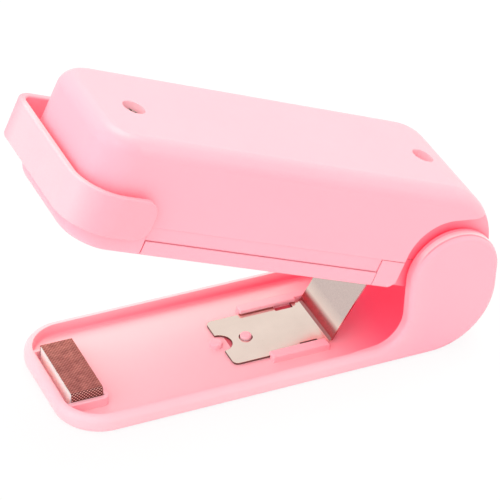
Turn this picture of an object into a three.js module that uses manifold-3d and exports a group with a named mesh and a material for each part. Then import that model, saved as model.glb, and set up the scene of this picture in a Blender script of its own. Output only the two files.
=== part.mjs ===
// Hand-held bag sealer: a lower arm with a pad and a leaf spring, and a battery-powered upper arm
// with a heater strip, hinged between the lower arm's ears and shown open.
// Millimetres, +Z up. The jaws' tip points to -X and the hinge to +X.
import * as THREE from 'three';
import { mergeVertices } from 'three/addons/utils/BufferGeometryUtils.js';
import Module from 'manifold-3d';

const wasm = await Module();
wasm.setup();

const degree = Math.PI / 180;
const overrun = 5;
const fitGap = 0.3;
const filmGap = 0.1;

// Both arms
const armWidth = 37;

// Lower arm
const trayOverhang = 1.5;
const trayWall = 2;
const floorThickness = 1.4;
const rimHeight = 4.65;
const tipRadius = 11.2;
const edgeRound = 1.7;
const hingeReach = 98.05;
const hingeHeight = 21.66;
const earWall = 3.5;
const earRadius = 11.7;
const earFillet = 7.5;
const heelRadius = 16.4;
const heelWallDrop = 7.6;
const trunnionRadius = 2.5;
const trunnionClearance = 0.08;
const trunnionLength = 1.1;

// Sealing pad, its woven cover and the fence round it
const padSetback = 3.7;
const padWidth = 8;
const padSideRoom = 10.1;
const padTop = 6.1;
const padRound = 0.5;
const coverThickness = 0.25;
const coverDrop = 3.6;
const coverSetback = 0.15;
const fenceWall = 1.1;
const fenceHeight = 3.8;
const fenceSlot = 1.1;
const fenceCorner = 1.6;

// Leaf spring, whose tip bears on the roof of the upper arm's leaf pocket
const leafBendSetback = 26.25;
const leafFoot = 25.7;
const leafWidth = 17.6;
const leafThickness = 0.5;
const leafBendRadius = 1.2;
const leafTipRadius = 1.3;
const leafTipTurn = 50 * degree;
const leafCorner = 1.4;
const leafNotchRadius = 3.1;
const leafHoleRadius = 1.7;
const leafPegSetback = 6.85;
const leafSlotSetback = 18;
const leafSlotLength = 4.6;
const leafSlotDepth = 1.2;
const lugRadius = 1.6;
const lugSetback = 1;
const railStartSetback = 16.6;
const railEndSetback = 1.7;
const farRailOverhang = 2.7;
const railLip = 0.5;
const railWall = 2.1;
const railHeight = 3.1;

// Upper arm casing, measured from the hinge axis
const noseOverhang = 6.25;
const backReach = 8.8;
const crownHeight = 21.1;
const undersideDrop = 6.4;
const casingWall = 1.8;
const sideDraft = 0.6;
const noseCorner = 9;
const backCorner = 4.2;
const sideRound = 4;
const backRound = 18;
const noseRound = 3;
const hemRound = 0.9;
const openAngle = 22.2 * degree;
const closedGap = 1.9;
const padGap = 0.35;
const seamGap = 0.25;
const seamHeight = 1.1;
const doorSeamHeight = -2.4;
const doorFrontSetback = 12.35;
const doorBackReach = 21.6;
const noseStepOffset = 1.6;
const noseStepHeight = 3.5;
const beltDepth = 0.35;
const pocketRadius = 11.5;
const pocketReach = 3.5;
const pocketGap = 2.05;
const pocketRise = 13.5 * degree;
const pocketWall = 1.4;
const barrelRadius = 6.5;
const tailRadius = 9.5;

// Battery bay, door and cells
const bayWall = 1;
const bulkheadWall = 1.1;
const bayFrontSetback = 1.7;
const bayBackSetback = 3;
const doorWall = 1.6;
const hookWidth = 3;
const hookSetback = 1.4;
const hookLength = 1.3;
const hookHeight = 0.9;
const latchWidth = 8;
const latchWall = 1;
const latchHeight = 3.2;
const cellNubRadius = 2.75;
const cellNubHeight = 1.1;
const cellShoulder = 0.7;
const contactThickness = 0.4;
const contactHeight = 11;
const contactWidth = 10;
const tabWidth = 2.4;
const tabRise = 2;
const springWire = 0.6;
const springRadius = 3;
const springLength = 7.5;
const springTurns = 5;

// Heater
const heaterWidth = 8;
const heaterSideRoom = 8.5;
const heaterBlockHeight = 3.4;
const ribbonWidth = 3;
const ribbonThickness = 0.25;
const terminalHeight = 4;
const terminalThickness = 0.5;
const shelfHeight = -1.4;
const shelfThickness = 1.2;

// Screws
const frontScrewOffset = 5.3;
const backScrewOffset = 11.6;
const screwSide = -1;
const screwHeadRadius = 2.3;
const screwHeadHeight = 1.7;
const screwShankRadius = 1;
const screwSlotWidth = 0.6;
const screwSlotDepth = 0.7;
const screwEngagement = 5;
const screwRecessRadius = 2.75;
const frontScrewDepth = 2.2;
const backScrewDepth = 4.6;
const bossWall = 1.3;
const postWall = 1.6;
const frontPostHeight = 8;
const backPostHeight = 8;

// Switch under the leaf's tip
const leafPocketLength = 11.3;
const leafPocketDepth = 2;
const roofThickness = 1.2;
const switchOffset = 6;
const switchLength = 5.4;
const switchWidth = 8;
const switchHeight = 6;
const plungerRadius = 1.4;
const plungerLength = 5;
const plungerGap = 0.08;

// Locking yoke, with more room on its far side than on its near side
const yokeNearGap = 1.2;
const yokeFarGap = 2.4;
const yokeNoseGap = 1;
const yokeEndOffset = 1.5;
const yokeWall = 1.8;
const yokeBottom = -1.4;
const yokeTop = 8.9;
const yokeNearRadius = 11;
const yokeFarRadius = 3.2;
const yokeEndRadius = 3.8;
const yokeEdge = 0.55;
const yokePivotOffset = 2.2;
const yokePivotHeight = 1;
const studRadius = 1.2;
const studClearance = 0.08;
const studDepth = 1.3;

// Wires
const wireRadius = 0.6;
const wireSteps = 18;

// Counts
const cornerSteps = 6;
const roundSteps = 4;
const bevelSteps = 3;
const arcSteps = 20;
const rodSides = 24;
const wireSides = 8;
const springSides = 5;
const springSteps = 8;

// Values worked out from the sizes above
const trayWidth = armWidth + 2 * trayOverhang;
const halfTray = trayWidth / 2;
const halfArm = armWidth / 2;
const noseReach = hingeReach + noseOverhang;
const doorFrontReach = hingeReach - doorFrontSetback;
const padLength = trayWidth - 2 * padSideRoom;
const heaterLength = armWidth - 2 * heaterSideRoom;
const earInside = halfTray - earWall;
const coreHalf = earInside - fitGap;
const innerHalf = halfArm - casingWall;
const beyond = 2 * (hingeReach + noseReach);
const heelCentre = hingeReach + earRadius - heelRadius;
const earFront = hingeReach - earRadius;
const heelStart = earFront - 2 * earFillet;
const pocketLift = earRadius + pocketGap - Math.sqrt(pocketRadius ** 2 - pocketReach ** 2);
const tipDistance = Math.hypot(hingeReach, undersideDrop);
const closedTilt = Math.asin((hingeHeight - rimHeight - closedGap) / tipDistance)
    - Math.atan2(undersideDrop, hingeReach);
const leafFloor = floorThickness + filmGap;
const leafTop = leafFloor + leafThickness;
const leafBend = hingeReach - leafBendSetback;
const leafStart = leafBend - leafFoot;
const pegHeight = leafTop + leafThickness + fitGap;
const roofBottom = -undersideDrop + leafPocketDepth;
const roofTop = roofBottom + roofThickness;
const leafPocketFront = doorBackReach - seamGap - 2 * bulkheadWall;
const switchReach = doorBackReach - switchOffset;
const switchBottom = roofTop + filmGap;
const switchTop = switchBottom + switchHeight;
const frontBulkhead = doorFrontReach + seamGap;
const backBulkhead = doorBackReach - seamGap;
const bayFront = doorFrontReach - bayFrontSetback;
const bayBack = doorBackReach + bayBackSetback;
const bayHalf = innerHalf - sideDraft - fitGap - bayWall;
const hookOffset = bayHalf - hookSetback;
const cellRadius = (bayHalf - fitGap) / 2;
const bayFoot = -undersideDrop + doorWall + fitGap;
const cellOffset = cellRadius + filmGap;
const cellHeight = bayFoot + fitGap + cellRadius;
const bayRoof = cellHeight + cellRadius + fitGap;
const contactStack = contactThickness + 2 * filmGap;
const cellLength = bayFront - bayBack - springLength - 2 * contactStack - 2 * filmGap;
const noseStep = doorFrontReach + noseStepOffset;
const frontScrew = doorFrontReach + frontScrewOffset;
const backScrew = doorBackReach - backScrewOffset;
const heaterTop = coverThickness + ribbonThickness + 2 * filmGap + heaterBlockHeight;
const yokeReach = noseReach + yokeNoseGap + yokeWall;
const yokeNear = halfArm + yokeNearGap + yokeWall;
const yokeFar = halfArm + yokeFarGap + yokeWall;
const yokeEnd = doorFrontReach + yokeEndOffset;
const yokePivot = yokeEnd + yokePivotOffset;

const colours = {
  pinkCase: { color: 0xffbfd0, roughness: 0.42, metalness: 0 },
  pinkTray: { color: 0xffc2cd, roughness: 0.45, metalness: 0 },
  pinkYoke: { color: 0xffd2dc, roughness: 0.6, metalness: 0 },
  steel: { color: 0xd6cbc2, roughness: 0.28, metalness: 0.9 },
  rubber: { color: 0xfff0e1, roughness: 0.7, metalness: 0 },
  cover: { color: 0x9c5b52, roughness: 0.65, metalness: 0 },
  cell: { color: 0x3a4a56, roughness: 0.4, metalness: 0.2 },
  nickel: { color: 0xc9c8c2, roughness: 0.3, metalness: 0.9 },
  brass: { color: 0xc9a24e, roughness: 0.35, metalness: 0.9 },
  ceramic: { color: 0xe9e4da, roughness: 0.8, metalness: 0 },
  black: { color: 0x1c1c1e, roughness: 0.5, metalness: 0 },
  redWire: { color: 0xb3262b, roughness: 0.5, metalness: 0 },
  blackWire: { color: 0x222224, roughness: 0.5, metalness: 0 },
};

// Closed geometry to a solid, and back
function solid(geometry) {
  const plain = geometry.clone();
  plain.deleteAttribute('normal');
  plain.deleteAttribute('uv');
  const merged = mergeVertices(plain, 1e-4);
  const vertProperties = new Float32Array(merged.attributes.position.array);
  const triVerts = new Uint32Array(merged.index.array);
  return new wasm.Manifold(new wasm.Mesh({ numProp: 3, vertProperties, triVerts }));
}

function geometryOf(body) {
  const made = body.getMesh();
  const geometry = new THREE.BufferGeometry();
  geometry.setAttribute('position', new THREE.BufferAttribute(made.vertProperties, 3));
  geometry.setIndex(new THREE.BufferAttribute(made.triVerts, 1));
  geometry.computeVertexNormals();
  return geometry;
}

function joined(bodies) {
  return bodies.reduce((sum, body) => sum.add(body));
}

function without(body, cuts) {
  return cuts.reduce((rest, cut) => rest.subtract(cut), body);
}

function piece(name, body, look) {
  const mesh = new THREE.Mesh(geometryOf(body), new THREE.MeshStandardMaterial(look));
  mesh.name = name;
  return mesh;
}

// A box between two corners
function block(x0, x1, y0, y1, z0, z1) {
  const geometry = new THREE.BoxGeometry(x1 - x0, y1 - y0, z1 - z0);
  geometry.translate((x0 + x1) / 2, (y0 + y1) / 2, (z0 + z1) / 2);
  return solid(geometry);
}

// A block between two Y values given in either order
function sideBlock(x0, x1, ya, yb, z0, z1) {
  return block(x0, x1, Math.min(ya, yb), Math.max(ya, yb), z0, z1);
}

// A rod along Y, and a rod along Z
function crossRod(radius, x, z, y0, y1, sides = rodSides) {
  const geometry = new THREE.CylinderGeometry(radius, radius, Math.abs(y1 - y0), sides);
  geometry.translate(x, (y0 + y1) / 2, z);
  return solid(geometry);
}

function uprightRod(radius, x, y, z0, z1, sides = rodSides) {
  const geometry = new THREE.CylinderGeometry(radius, radius, z1 - z0, sides);
  geometry.rotateX(Math.PI / 2);
  geometry.translate(x, y, (z0 + z1) / 2);
  return solid(geometry);
}

// A side outline, drawn in X and Z, swept from y0 to y1, with rounded or plain rims
function sideSweep(shape, y0, y1, round = 0) {
  const geometry = new THREE.ExtrudeGeometry(shape, {
    depth: y1 - y0 - 2 * round,
    bevelEnabled: round > 0,
    bevelThickness: round,
    bevelSize: round,
    bevelOffset: -round,
    bevelSegments: bevelSteps,
    curveSegments: arcSteps,
  });
  geometry.rotateX(Math.PI / 2);
  geometry.translate(0, y1 - round, 0);
  return solid(geometry);
}

// A plan outline, drawn in X and Y, swept from z0 to z1, with rounded or plain rims
function planSweep(shape, z0, z1, round = 0, steps = arcSteps) {
  const geometry = new THREE.ExtrudeGeometry(shape, {
    depth: z1 - z0 - 2 * round,
    bevelEnabled: round > 0,
    bevelThickness: round,
    bevelSize: round,
    bevelOffset: -round,
    bevelSegments: bevelSteps,
    curveSegments: steps,
  });
  geometry.translate(0, 0, z0 + round);
  return solid(geometry);
}

function outline(points) {
  return new THREE.Shape(points.map(([a, b]) => new THREE.Vector2(a, b)));
}

// How far a rounded rim draws the outline in, at a distance from the rim's edge
function drawIn(distance, radius) {
  if (radius <= 0 || distance >= radius) return 0;
  return radius - Math.sqrt(radius * radius - (radius - distance) ** 2);
}

// Heights of a quarter round's steps above its edge
function roundLevels(radius, steps) {
  return Array.from({ length: steps + 1 }, (_, i) => radius * (1 - Math.cos((i / steps) * Math.PI / 2)));
}

// One ring of a rounded rectangle
function ringPoints({ x0, x1, half, corner0, corner1 }, z) {
  const points = [];
  const corners = [
    [x1 - corner1, half - corner1, corner1, 0],
    [x0 + corner0, half - corner0, corner0, 1],
    [x0 + corner0, -half + corner0, corner0, 2],
    [x1 - corner1, -half + corner1, corner1, 3],
  ];
  for (const [x, y, radius, quarter] of corners) {
    for (let i = 0; i <= cornerSteps; i += 1) {
      const angle = (quarter + i / cornerSteps) * Math.PI / 2;
      points.push([x + radius * Math.cos(angle), y + radius * Math.sin(angle), z]);
    }
  }
  return points;
}

// Rings stacked from the lowest to the highest and closed at both ends
function stack(rings) {
  const count = rings[0].length;
  const index = [];
  for (let level = 0; level + 1 < rings.length; level += 1) {
    for (let i = 0; i < count; i += 1) {
      const a = level * count + i;
      const b = level * count + (i + 1) % count;
      index.push(a, b, b + count, a, b + count, a + count);
    }
  }
  const top = (rings.length - 1) * count;
  for (let i = 1; i + 1 < count; i += 1) {
    index.push(0, i + 1, i);
    index.push(top, top + i, top + i + 1);
  }
  const geometry = new THREE.BufferGeometry();
  geometry.setAttribute('position', new THREE.Float32BufferAttribute(rings.flat(2), 3));
  geometry.setIndex(index);
  return solid(geometry);
}

// Lower arm: its side outline from the tray to the ears
function heelOutline(start) {
  const filletX = earFront - earFillet;
  const filletZ = rimHeight + earFillet;
  const shape = new THREE.Shape();
  shape.moveTo(start, 0);
  shape.lineTo(heelCentre, 0);
  shape.absarc(heelCentre, heelRadius, heelRadius, -Math.PI / 2, 0, false);
  shape.absarc(hingeReach, hingeHeight, earRadius, 0, Math.PI, false);
  shape.absarc(filletX, filletZ, earFillet, 0, -Math.PI / 2, true);
  shape.lineTo(start, rimHeight);
  shape.closePath();
  return shape;
}

function trayOutside() {
  const levels = roundLevels(edgeRound, bevelSteps);
  const heights = [...levels, ...levels.map((level) => rimHeight - level).reverse()];
  const rings = heights.map((z) => {
    const inset = Math.max(drawIn(z, edgeRound), drawIn(rimHeight - z, edgeRound));
    return ringPoints({
      x0: inset,
      x1: hingeReach,
      half: halfTray - inset,
      corner0: tipRadius - inset,
      corner1: edgeRound,
    }, z);
  });
  const front = stack(rings).intersect(
    block(-beyond, heelStart + filmGap, -beyond, beyond, -beyond, beyond));
  const heel = sideSweep(heelOutline(heelStart - edgeRound), -halfTray, halfTray, edgeRound)
    .intersect(block(heelStart, beyond, -beyond, beyond, -beyond, beyond));
  return front.add(heel);
}

function trayHollow() {
  const half = halfTray - trayWall;
  const tray = stack([floorThickness, beyond].map((z) => ringPoints({
    x0: trayWall,
    x1: heelStart + trayWall,
    half,
    corner0: tipRadius - trayWall,
    corner1: trayWall,
  }, z)));
  const taper = planSweep(outline([
    [heelStart, -half], [earFront, -earInside], [earFront, earInside], [heelStart, half],
  ]), floorThickness, beyond);
  const innerRadius = heelRadius - floorThickness;
  const shape = new THREE.Shape();
  const start = earFront - earFillet - 2 * trayWall;
  shape.moveTo(start, floorThickness);
  shape.lineTo(heelCentre, floorThickness);
  shape.absarc(heelCentre, heelRadius, innerRadius, -Math.PI / 2, 0, false);
  shape.lineTo(heelCentre + innerRadius, beyond);
  shape.lineTo(start, beyond);
  shape.closePath();
  const heel = sideSweep(shape, -earInside, earInside);
  const overHeelWall = block(hingeReach, beyond, -earInside, earInside,
    hingeHeight - heelWallDrop, beyond);
  return joined([tray, taper, heel, overHeelWall]);
}

// The fence round the pad, trimmed to the tray's own outline
function padFence() {
  const x0 = trayWall / 2;
  const x1 = padSetback + padWidth + fitGap + fenceWall;
  const half = padLength / 2 + coverThickness + fitGap + fenceWall;
  const ring = stack([floorThickness / 2, fenceHeight].map((z) => ringPoints({
    x0, x1, half, corner0: fenceCorner, corner1: fenceCorner,
  }, z)));
  const well = block(padSetback - fenceSlot, x1 - fenceWall, -half + fenceWall, half - fenceWall,
    floorThickness, beyond);
  const plan = stack([0, beyond].map((z) => ringPoints({
    x0,
    x1: hingeReach,
    half: halfTray - x0,
    corner0: tipRadius - x0,
    corner1: edgeRound,
  }, z)));
  return ring.intersect(plan).subtract(well);
}

function leafRail(side) {
  const inner = side * (leafWidth / 2 + fitGap);
  const outer = side * (leafWidth / 2 + fitGap + railWall);
  const lip = side * (leafWidth / 2 - railLip);
  const start = leafBend - railStartSetback;
  const turn = leafBend - railEndSetback;
  const end = side > 0 ? leafBend + farRailOverhang : turn;
  const rail = sideBlock(start, end, lip, outer, floorThickness / 2, railHeight);
  const under = sideBlock(-beyond, beyond, 0, inner, floorThickness, leafTop + fitGap);
  const bend = sideBlock(turn, beyond, 0, inner, floorThickness, beyond);
  return without(rail, [under, bend]);
}

function earBore(side) {
  const radius = trunnionRadius + trunnionClearance;
  const end = earInside + trunnionLength + fitGap;
  return crossRod(radius, hingeReach, hingeHeight, side * coreHalf, side * end);
}

function lowerArm() {
  const peg = uprightRod(leafHoleRadius - fitGap, leafStart + leafPegSetback, 0,
    floorThickness / 2, pegHeight);
  const lug = uprightRod(lugRadius, leafStart - lugSetback, 0, floorThickness / 2, pegHeight);
  const shell = trayOutside().subtract(trayHollow());
  const body = joined([shell, padFence(), leafRail(1), leafRail(-1), peg, lug]);
  return piece('lower_arm', without(body, [earBore(1), earBore(-1)]), colours.pinkTray);
}

// A point of the upper arm, given by its reach towards the nose and its height, when open
function openPoint(reach, height) {
  const cos = Math.cos(openAngle);
  const sin = Math.sin(openAngle);
  return [hingeReach - reach * cos + height * sin, hingeHeight + reach * sin + height * cos];
}

// Leaf spring: flat foot, bend, rising leaf and curled tip
function leafOutline() {
  const [tipX, tipZ] = openPoint(switchReach, roofBottom - filmGap - leafTipRadius);
  const outerRadius = leafBendRadius + leafThickness;
  const centreZ = leafFloor + outerRadius;
  const bendX = leafBend - outerRadius * Math.tan(Math.atan2(tipZ - leafFloor, tipX - leafBend) / 2);
  // The leaf's outer face is tangent to the bend and to a circle round the tip's centre
  const distance = Math.hypot(tipX - bendX, tipZ - centreZ);
  const rise = Math.atan2(tipZ - centreZ, tipX - bendX)
    + Math.asin((outerRadius - leafTipRadius - leafThickness) / distance);
  const tipStart = rise - Math.PI / 2;
  const shape = new THREE.Shape();
  shape.moveTo(leafStart, leafFloor);
  shape.lineTo(bendX, leafFloor);
  shape.absarc(bendX, centreZ, outerRadius, -Math.PI / 2, tipStart, false);
  shape.absarc(tipX, tipZ, leafTipRadius + leafThickness, tipStart, tipStart + leafTipTurn, false);
  shape.absarc(tipX, tipZ, leafTipRadius, tipStart + leafTipTurn, tipStart, true);
  shape.absarc(bendX, centreZ, leafBendRadius, tipStart, -Math.PI / 2, true);
  shape.lineTo(leafStart, leafTop);
  shape.closePath();
  return shape;
}

function leafSpring() {
  const half = leafWidth / 2;
  const strip = sideSweep(leafOutline(), -half, half);
  const hole = uprightRod(leafHoleRadius, leafStart + leafPegSetback, 0, 0, rimHeight);
  const notch = uprightRod(leafNotchRadius, leafStart, 0, 0, rimHeight);
  const corners = [1, -1].map((side) => planSweep(outline([
    [leafStart - overrun, side * (half + overrun)],
    [leafStart - overrun, side * (half - leafCorner - overrun)],
    [leafStart + leafCorner + overrun, side * (half + overrun)],
  ]), 0, rimHeight));
  const slots = [1, -1].map((side) => sideBlock(
    leafStart + leafSlotSetback, leafStart + leafSlotSetback + leafSlotLength,
    side * (half - leafSlotDepth), side * (half + overrun), 0, rimHeight));
  return piece('leaf_spring', without(strip, [hole, notch, ...corners, ...slots]), colours.steel);
}

// An outline drawn in Y and Z, swept along X
function lengthSweep(shape, x0, x1) {
  const geometry = new THREE.ExtrudeGeometry(shape, {
    depth: x1 - x0,
    bevelEnabled: false,
    curveSegments: roundSteps,
  });
  geometry.applyMatrix4(new THREE.Matrix4().makeBasis(
    new THREE.Vector3(0, 1, 0), new THREE.Vector3(0, 0, 1), new THREE.Vector3(1, 0, 0)));
  geometry.translate(x0, 0, 0);
  return solid(geometry);
}

function sealingPad() {
  const half = padLength / 2 - padRound;
  const height = padTop - coverThickness - filmGap - padRound;
  const shape = new THREE.Shape();
  shape.moveTo(-half - padRound, floorThickness + filmGap);
  shape.lineTo(half + padRound, floorThickness + filmGap);
  shape.absarc(half, height, padRound, 0, Math.PI / 2, false);
  shape.absarc(-half, height, padRound, Math.PI / 2, Math.PI, false);
  shape.closePath();
  return piece('sealing_pad', lengthSweep(shape, padSetback, padSetback + padWidth), colours.rubber);
}

// A sheet folded down over a block: an upside-down U of even thickness
function foldedSheet(halfInside, top, thickness, bottom, round) {
  const shape = new THREE.Shape();
  const outer = halfInside + thickness;
  shape.moveTo(outer, bottom);
  shape.lineTo(outer, top - round);
  shape.absarc(outer - round, top - round, round, 0, Math.PI / 2, false);
  shape.absarc(round - outer, top - round, round, Math.PI / 2, Math.PI, false);
  shape.lineTo(-outer, bottom);
  shape.lineTo(-halfInside, bottom);
  const innerRound = round - thickness;
  shape.absarc(innerRound - halfInside, top - round, innerRound, Math.PI, Math.PI / 2, true);
  shape.absarc(halfInside - innerRound, top - round, innerRound, Math.PI / 2, 0, true);
  shape.lineTo(halfInside, bottom);
  shape.closePath();
  return shape;
}

function padCover() {
  const shape = foldedSheet(padLength / 2 + filmGap, padTop, coverThickness, padTop - coverDrop,
    padRound + filmGap + coverThickness);
  const body = lengthSweep(shape, padSetback + coverSetback, padSetback + padWidth);
  return piece('pad_cover', body, colours.cover);
}

// Upper arm casing as a stack of rings: local X runs from the nose (negative) back over the hinge
function casingForm(inset) {
  const base = inset > 0 ? -undersideDrop - overrun : -undersideDrop;
  const crown = crownHeight - inset;
  const side = sideRound - inset;
  const back = backRound - inset;
  const lower = inset > 0 ? [0, overrun] : [...new Set([...roundLevels(noseRound, bevelSteps), hemRound])]
    .sort((a, b) => a - b);
  const upper = [...roundLevels(side, roundSteps), ...roundLevels(back, roundSteps).slice(2)]
    .sort((a, b) => b - a)
    .map((level) => crown - level);
  const heights = [...lower.map((level) => base + level), ...upper];
  const rings = heights.map((w) => {
    const low = inset > 0 ? Infinity : w - base;
    const high = crown - w;
    const rise = (w + undersideDrop) / (crownHeight + undersideDrop);
    const sideIn = Math.max(drawIn(low, hemRound), drawIn(high, side)) + sideDraft * Math.max(rise, 0);
    const noseIn = Math.max(drawIn(low, noseRound), drawIn(high, side));
    const backIn = Math.max(drawIn(low, hemRound), drawIn(high, back));
    return ringPoints({
      x0: -noseReach + inset + noseIn,
      x1: backReach - inset - backIn,
      half: halfArm - inset - sideIn,
      corner0: noseCorner - inset - Math.min(noseIn, sideIn),
      corner1: backCorner - inset - Math.min(backIn, sideIn),
    }, w);
  });
  return stack(rings);
}

// Full-width region of the casing under an outline in reach (towards the nose) and height
function region(points) {
  const shape = outline(points.map(([reach, height]) => [-reach, height]));
  return sideSweep(shape, -armWidth, armWidth);
}

const far = noseReach + overrun;
const high = crownHeight + overrun;
const low = -undersideDrop - 2 * overrun;
const behind = -backReach - 3 * overrun;

function shellRegion() {
  return region([
    [behind, seamHeight], [doorBackReach, seamHeight], [doorBackReach, doorSeamHeight],
    [doorFrontReach, doorSeamHeight], [doorFrontReach, seamHeight], [noseStep, seamHeight],
    [noseStep, noseStepHeight], [far, noseStepHeight], [far, high], [behind, high],
  ]);
}

function frameRegions() {
  const back = region([
    [behind, low], [doorBackReach - seamGap, low], [doorBackReach - seamGap, seamHeight - seamGap],
    [behind, seamHeight - seamGap],
  ]);
  const nose = region([
    [doorFrontReach + seamGap, low], [far, low], [far, noseStepHeight - seamGap],
    [noseStep + seamGap, noseStepHeight - seamGap],
    [noseStep + seamGap, seamHeight - seamGap],
    [doorFrontReach + seamGap, seamHeight - seamGap],
  ]);
  return { back, nose };
}

// Recesses in the casing's flanks that the lower arm's ears turn in
function earRecess(side, radius, inner) {
  const front = -pocketReach - radius;
  const rise = pocketLift + radius + (-behind + pocketReach) * Math.tan(pocketRise);
  const shape = new THREE.Shape();
  shape.moveTo(front, pocketLift);
  shape.lineTo(front, -undersideDrop + 2 * hemRound);
  shape.lineTo(front - 2 * hemRound, -undersideDrop);
  shape.lineTo(front - 2 * hemRound, low);
  shape.lineTo(-behind, low);
  shape.lineTo(-behind, rise);
  shape.absarc(-pocketReach, pocketLift, radius, Math.PI / 2 + pocketRise, Math.PI, false);
  shape.closePath();
  const outer = halfArm + overrun;
  return side > 0 ? sideSweep(shape, inner, outer) : sideSweep(shape, -outer, -inner);
}

const outerForm = casingForm(0);
const innerForm = casingForm(casingWall);

// The casing's wall, with its own lining round the ear recesses
function casingSkin() {
  const recesses = [1, -1].map((side) => earRecess(side, pocketRadius, coreHalf));
  const linings = [1, -1].map((side) => outerForm.intersect(
    earRecess(side, pocketRadius + pocketWall, coreHalf - pocketWall)));
  const wall = outerForm.subtract(innerForm);
  return without(joined([wall, ...linings]), recesses);
}

const skin = casingSkin();
const barrel = crossRod(barrelRadius, 0, 0, -coreHalf, coreHalf, 2 * rodSides);

function screwBoss(reach, postHeight) {
  return uprightRod(screwRecessRadius + bossWall, -reach, screwSide, postHeight + fitGap,
    crownHeight - casingWall / 2);
}

function screwCuts(reach, depth, postHeight) {
  const seat = crownHeight - depth - screwHeadHeight;
  return [
    uprightRod(screwRecessRadius, -reach, screwSide, seat, high),
    uprightRod(screwShankRadius + fitGap, -reach, screwSide, postHeight - overrun, seat + overrun),
  ];
}

// A shallow belt step along the flanks, between the door's seam and the rear seam
function beltCut(side) {
  return sideBlock(-doorFrontReach, -doorBackReach, side * (halfArm - beltDepth),
    side * (halfArm + overrun), doorSeamHeight - overrun, seamHeight);
}

function topShell() {
  const front = screwBoss(frontScrew, frontPostHeight);
  const back = screwBoss(backScrew, backPostHeight);
  const barrelNotch = crossRod(barrelRadius + fitGap, 0, 0, -coreHalf - overrun, coreHalf + overrun,
    2 * rodSides);
  const bayRoom = block(-doorFrontReach - seamGap - bulkheadWall - fitGap, -doorBackReach,
    -innerHalf, innerHalf, low, bayRoof + bayWall + fitGap);
  const body = without(skin.intersect(shellRegion()), [barrelNotch, beltCut(1), beltCut(-1)]);
  return piece('top_shell', without(joined([body, front.subtract(bayRoom), back]), [
    ...screwCuts(frontScrew, frontScrewDepth, frontPostHeight),
    ...screwCuts(backScrew, backScrewDepth, backPostHeight),
  ]), colours.pinkCase);
}

// Lower frame: nose, battery bay, rear bridge and hinge barrel in one moulding
function frameBulkheads() {
  const front = block(-doorFrontReach - seamGap - bulkheadWall, -doorFrontReach - seamGap,
    -halfArm, halfArm, -undersideDrop, seamHeight - seamGap);
  const back = block(-doorBackReach + seamGap, -doorBackReach + seamGap + bulkheadWall,
    -halfArm, halfArm, -undersideDrop, seamHeight - seamGap);
  return outerForm.intersect(front.add(back));
}

function batteryBay() {
  const x0 = -doorFrontReach - seamGap - bulkheadWall;
  const x1 = -doorBackReach + seamGap + bulkheadWall;
  const outer = block(x0, x1, -bayHalf - bayWall, bayHalf + bayWall, bayFoot, bayRoof + bayWall);
  const hollow = block(-bayFront, -bayBack, -bayHalf, bayHalf, low, bayRoof);
  return outer.subtract(hollow);
}

function frameFloors() {
  const slab = block(-far, -behind, -halfArm, halfArm, low, -undersideDrop + casingWall);
  const { back, nose } = frameRegions();
  const pockets = [1, -1].map((side) => earRecess(side, pocketRadius, coreHalf));
  const rearEdge = block(0, -behind, -armWidth, armWidth, low, high);
  const floors = outerForm.intersect(slab).intersect(back.add(nose));
  return without(floors, [...pockets, rearEdge]);
}

function leafPocketRoof() {
  const width = leafWidth / 2 + 2 * fitGap + casingWall;
  return block(-leafPocketFront - casingWall, leafPocketLength - leafPocketFront + casingWall,
    -width, width,
    -undersideDrop + hemRound, roofTop);
}

function leafPocket() {
  const half = leafWidth / 2 + 2 * fitGap;
  return block(-leafPocketFront, leafPocketLength - leafPocketFront, -half, half, low, roofBottom);
}

function noseShelf() {
  const slab = block(-noseReach, -doorFrontReach - seamGap, -halfArm, halfArm,
    shelfHeight - shelfThickness, shelfHeight);
  return outerForm.intersect(slab);
}

function screwPost(reach, base, top) {
  return uprightRod(screwShankRadius + postWall, -reach, screwSide, base, top);
}

function trunnion(side) {
  return crossRod(trunnionRadius, 0, 0, side * (coreHalf - overrun),
    side * (earInside + trunnionLength));
}

function yokeBore(side) {
  return crossRod(studRadius + studClearance, -yokePivot, yokePivotHeight,
    side * (innerHalf - fitGap - sideDraft), side * (halfArm + overrun));
}

// Place and turn of the heater, which lies flat on the pad when the jaws are closed
function heaterPlace() {
  const dx = padSetback + padWidth / 2 - hingeReach;
  const dz = padTop + padGap - hingeHeight;
  return {
    x: dx * Math.cos(closedTilt) + dz * Math.sin(closedTilt),
    z: -dx * Math.sin(closedTilt) + dz * Math.cos(closedTilt),
  };
}

const heater = heaterPlace();

function heaterWindow() {
  const half = heaterWidth / 2 + 2 * fitGap;
  const length = heaterLength / 2 + terminalThickness + 3 * fitGap;
  const window = block(heater.x - half, heater.x + half, -length, length,
    low, heater.z + heaterTop + 2 * fitGap);
  const slots = [1, -1].map((side) => sideBlock(
    heater.x - ribbonWidth / 2 - 2 * fitGap, heater.x + ribbonWidth / 2 + 2 * fitGap,
    side * (heaterLength / 2 - fitGap), side * length,
    low, heater.z + heaterTop + terminalHeight));
  return joined([window, ...slots]);
}

function doorHook(side, clearance) {
  const y = side * hookOffset;
  const front = doorFrontReach + seamGap + hookLength + clearance;
  const centre = -undersideDrop + doorWall - hookHeight / 2;
  return block(-front, -doorFrontReach + seamGap + overrun * clearance, y - hookWidth / 2 - clearance,
    y + hookWidth / 2 + clearance, centre - hookHeight / 2 - clearance,
    centre + hookHeight / 2 + clearance);
}

// Clears the frame's tail where it swings past the lower arm's heel
function tailCut() {
  const tail = block(0, -behind, -armWidth, armWidth, low, seamHeight);
  return tail.subtract(crossRod(tailRadius, 0, 0, -2 * armWidth, 2 * armWidth, 2 * rodSides));
}

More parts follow.
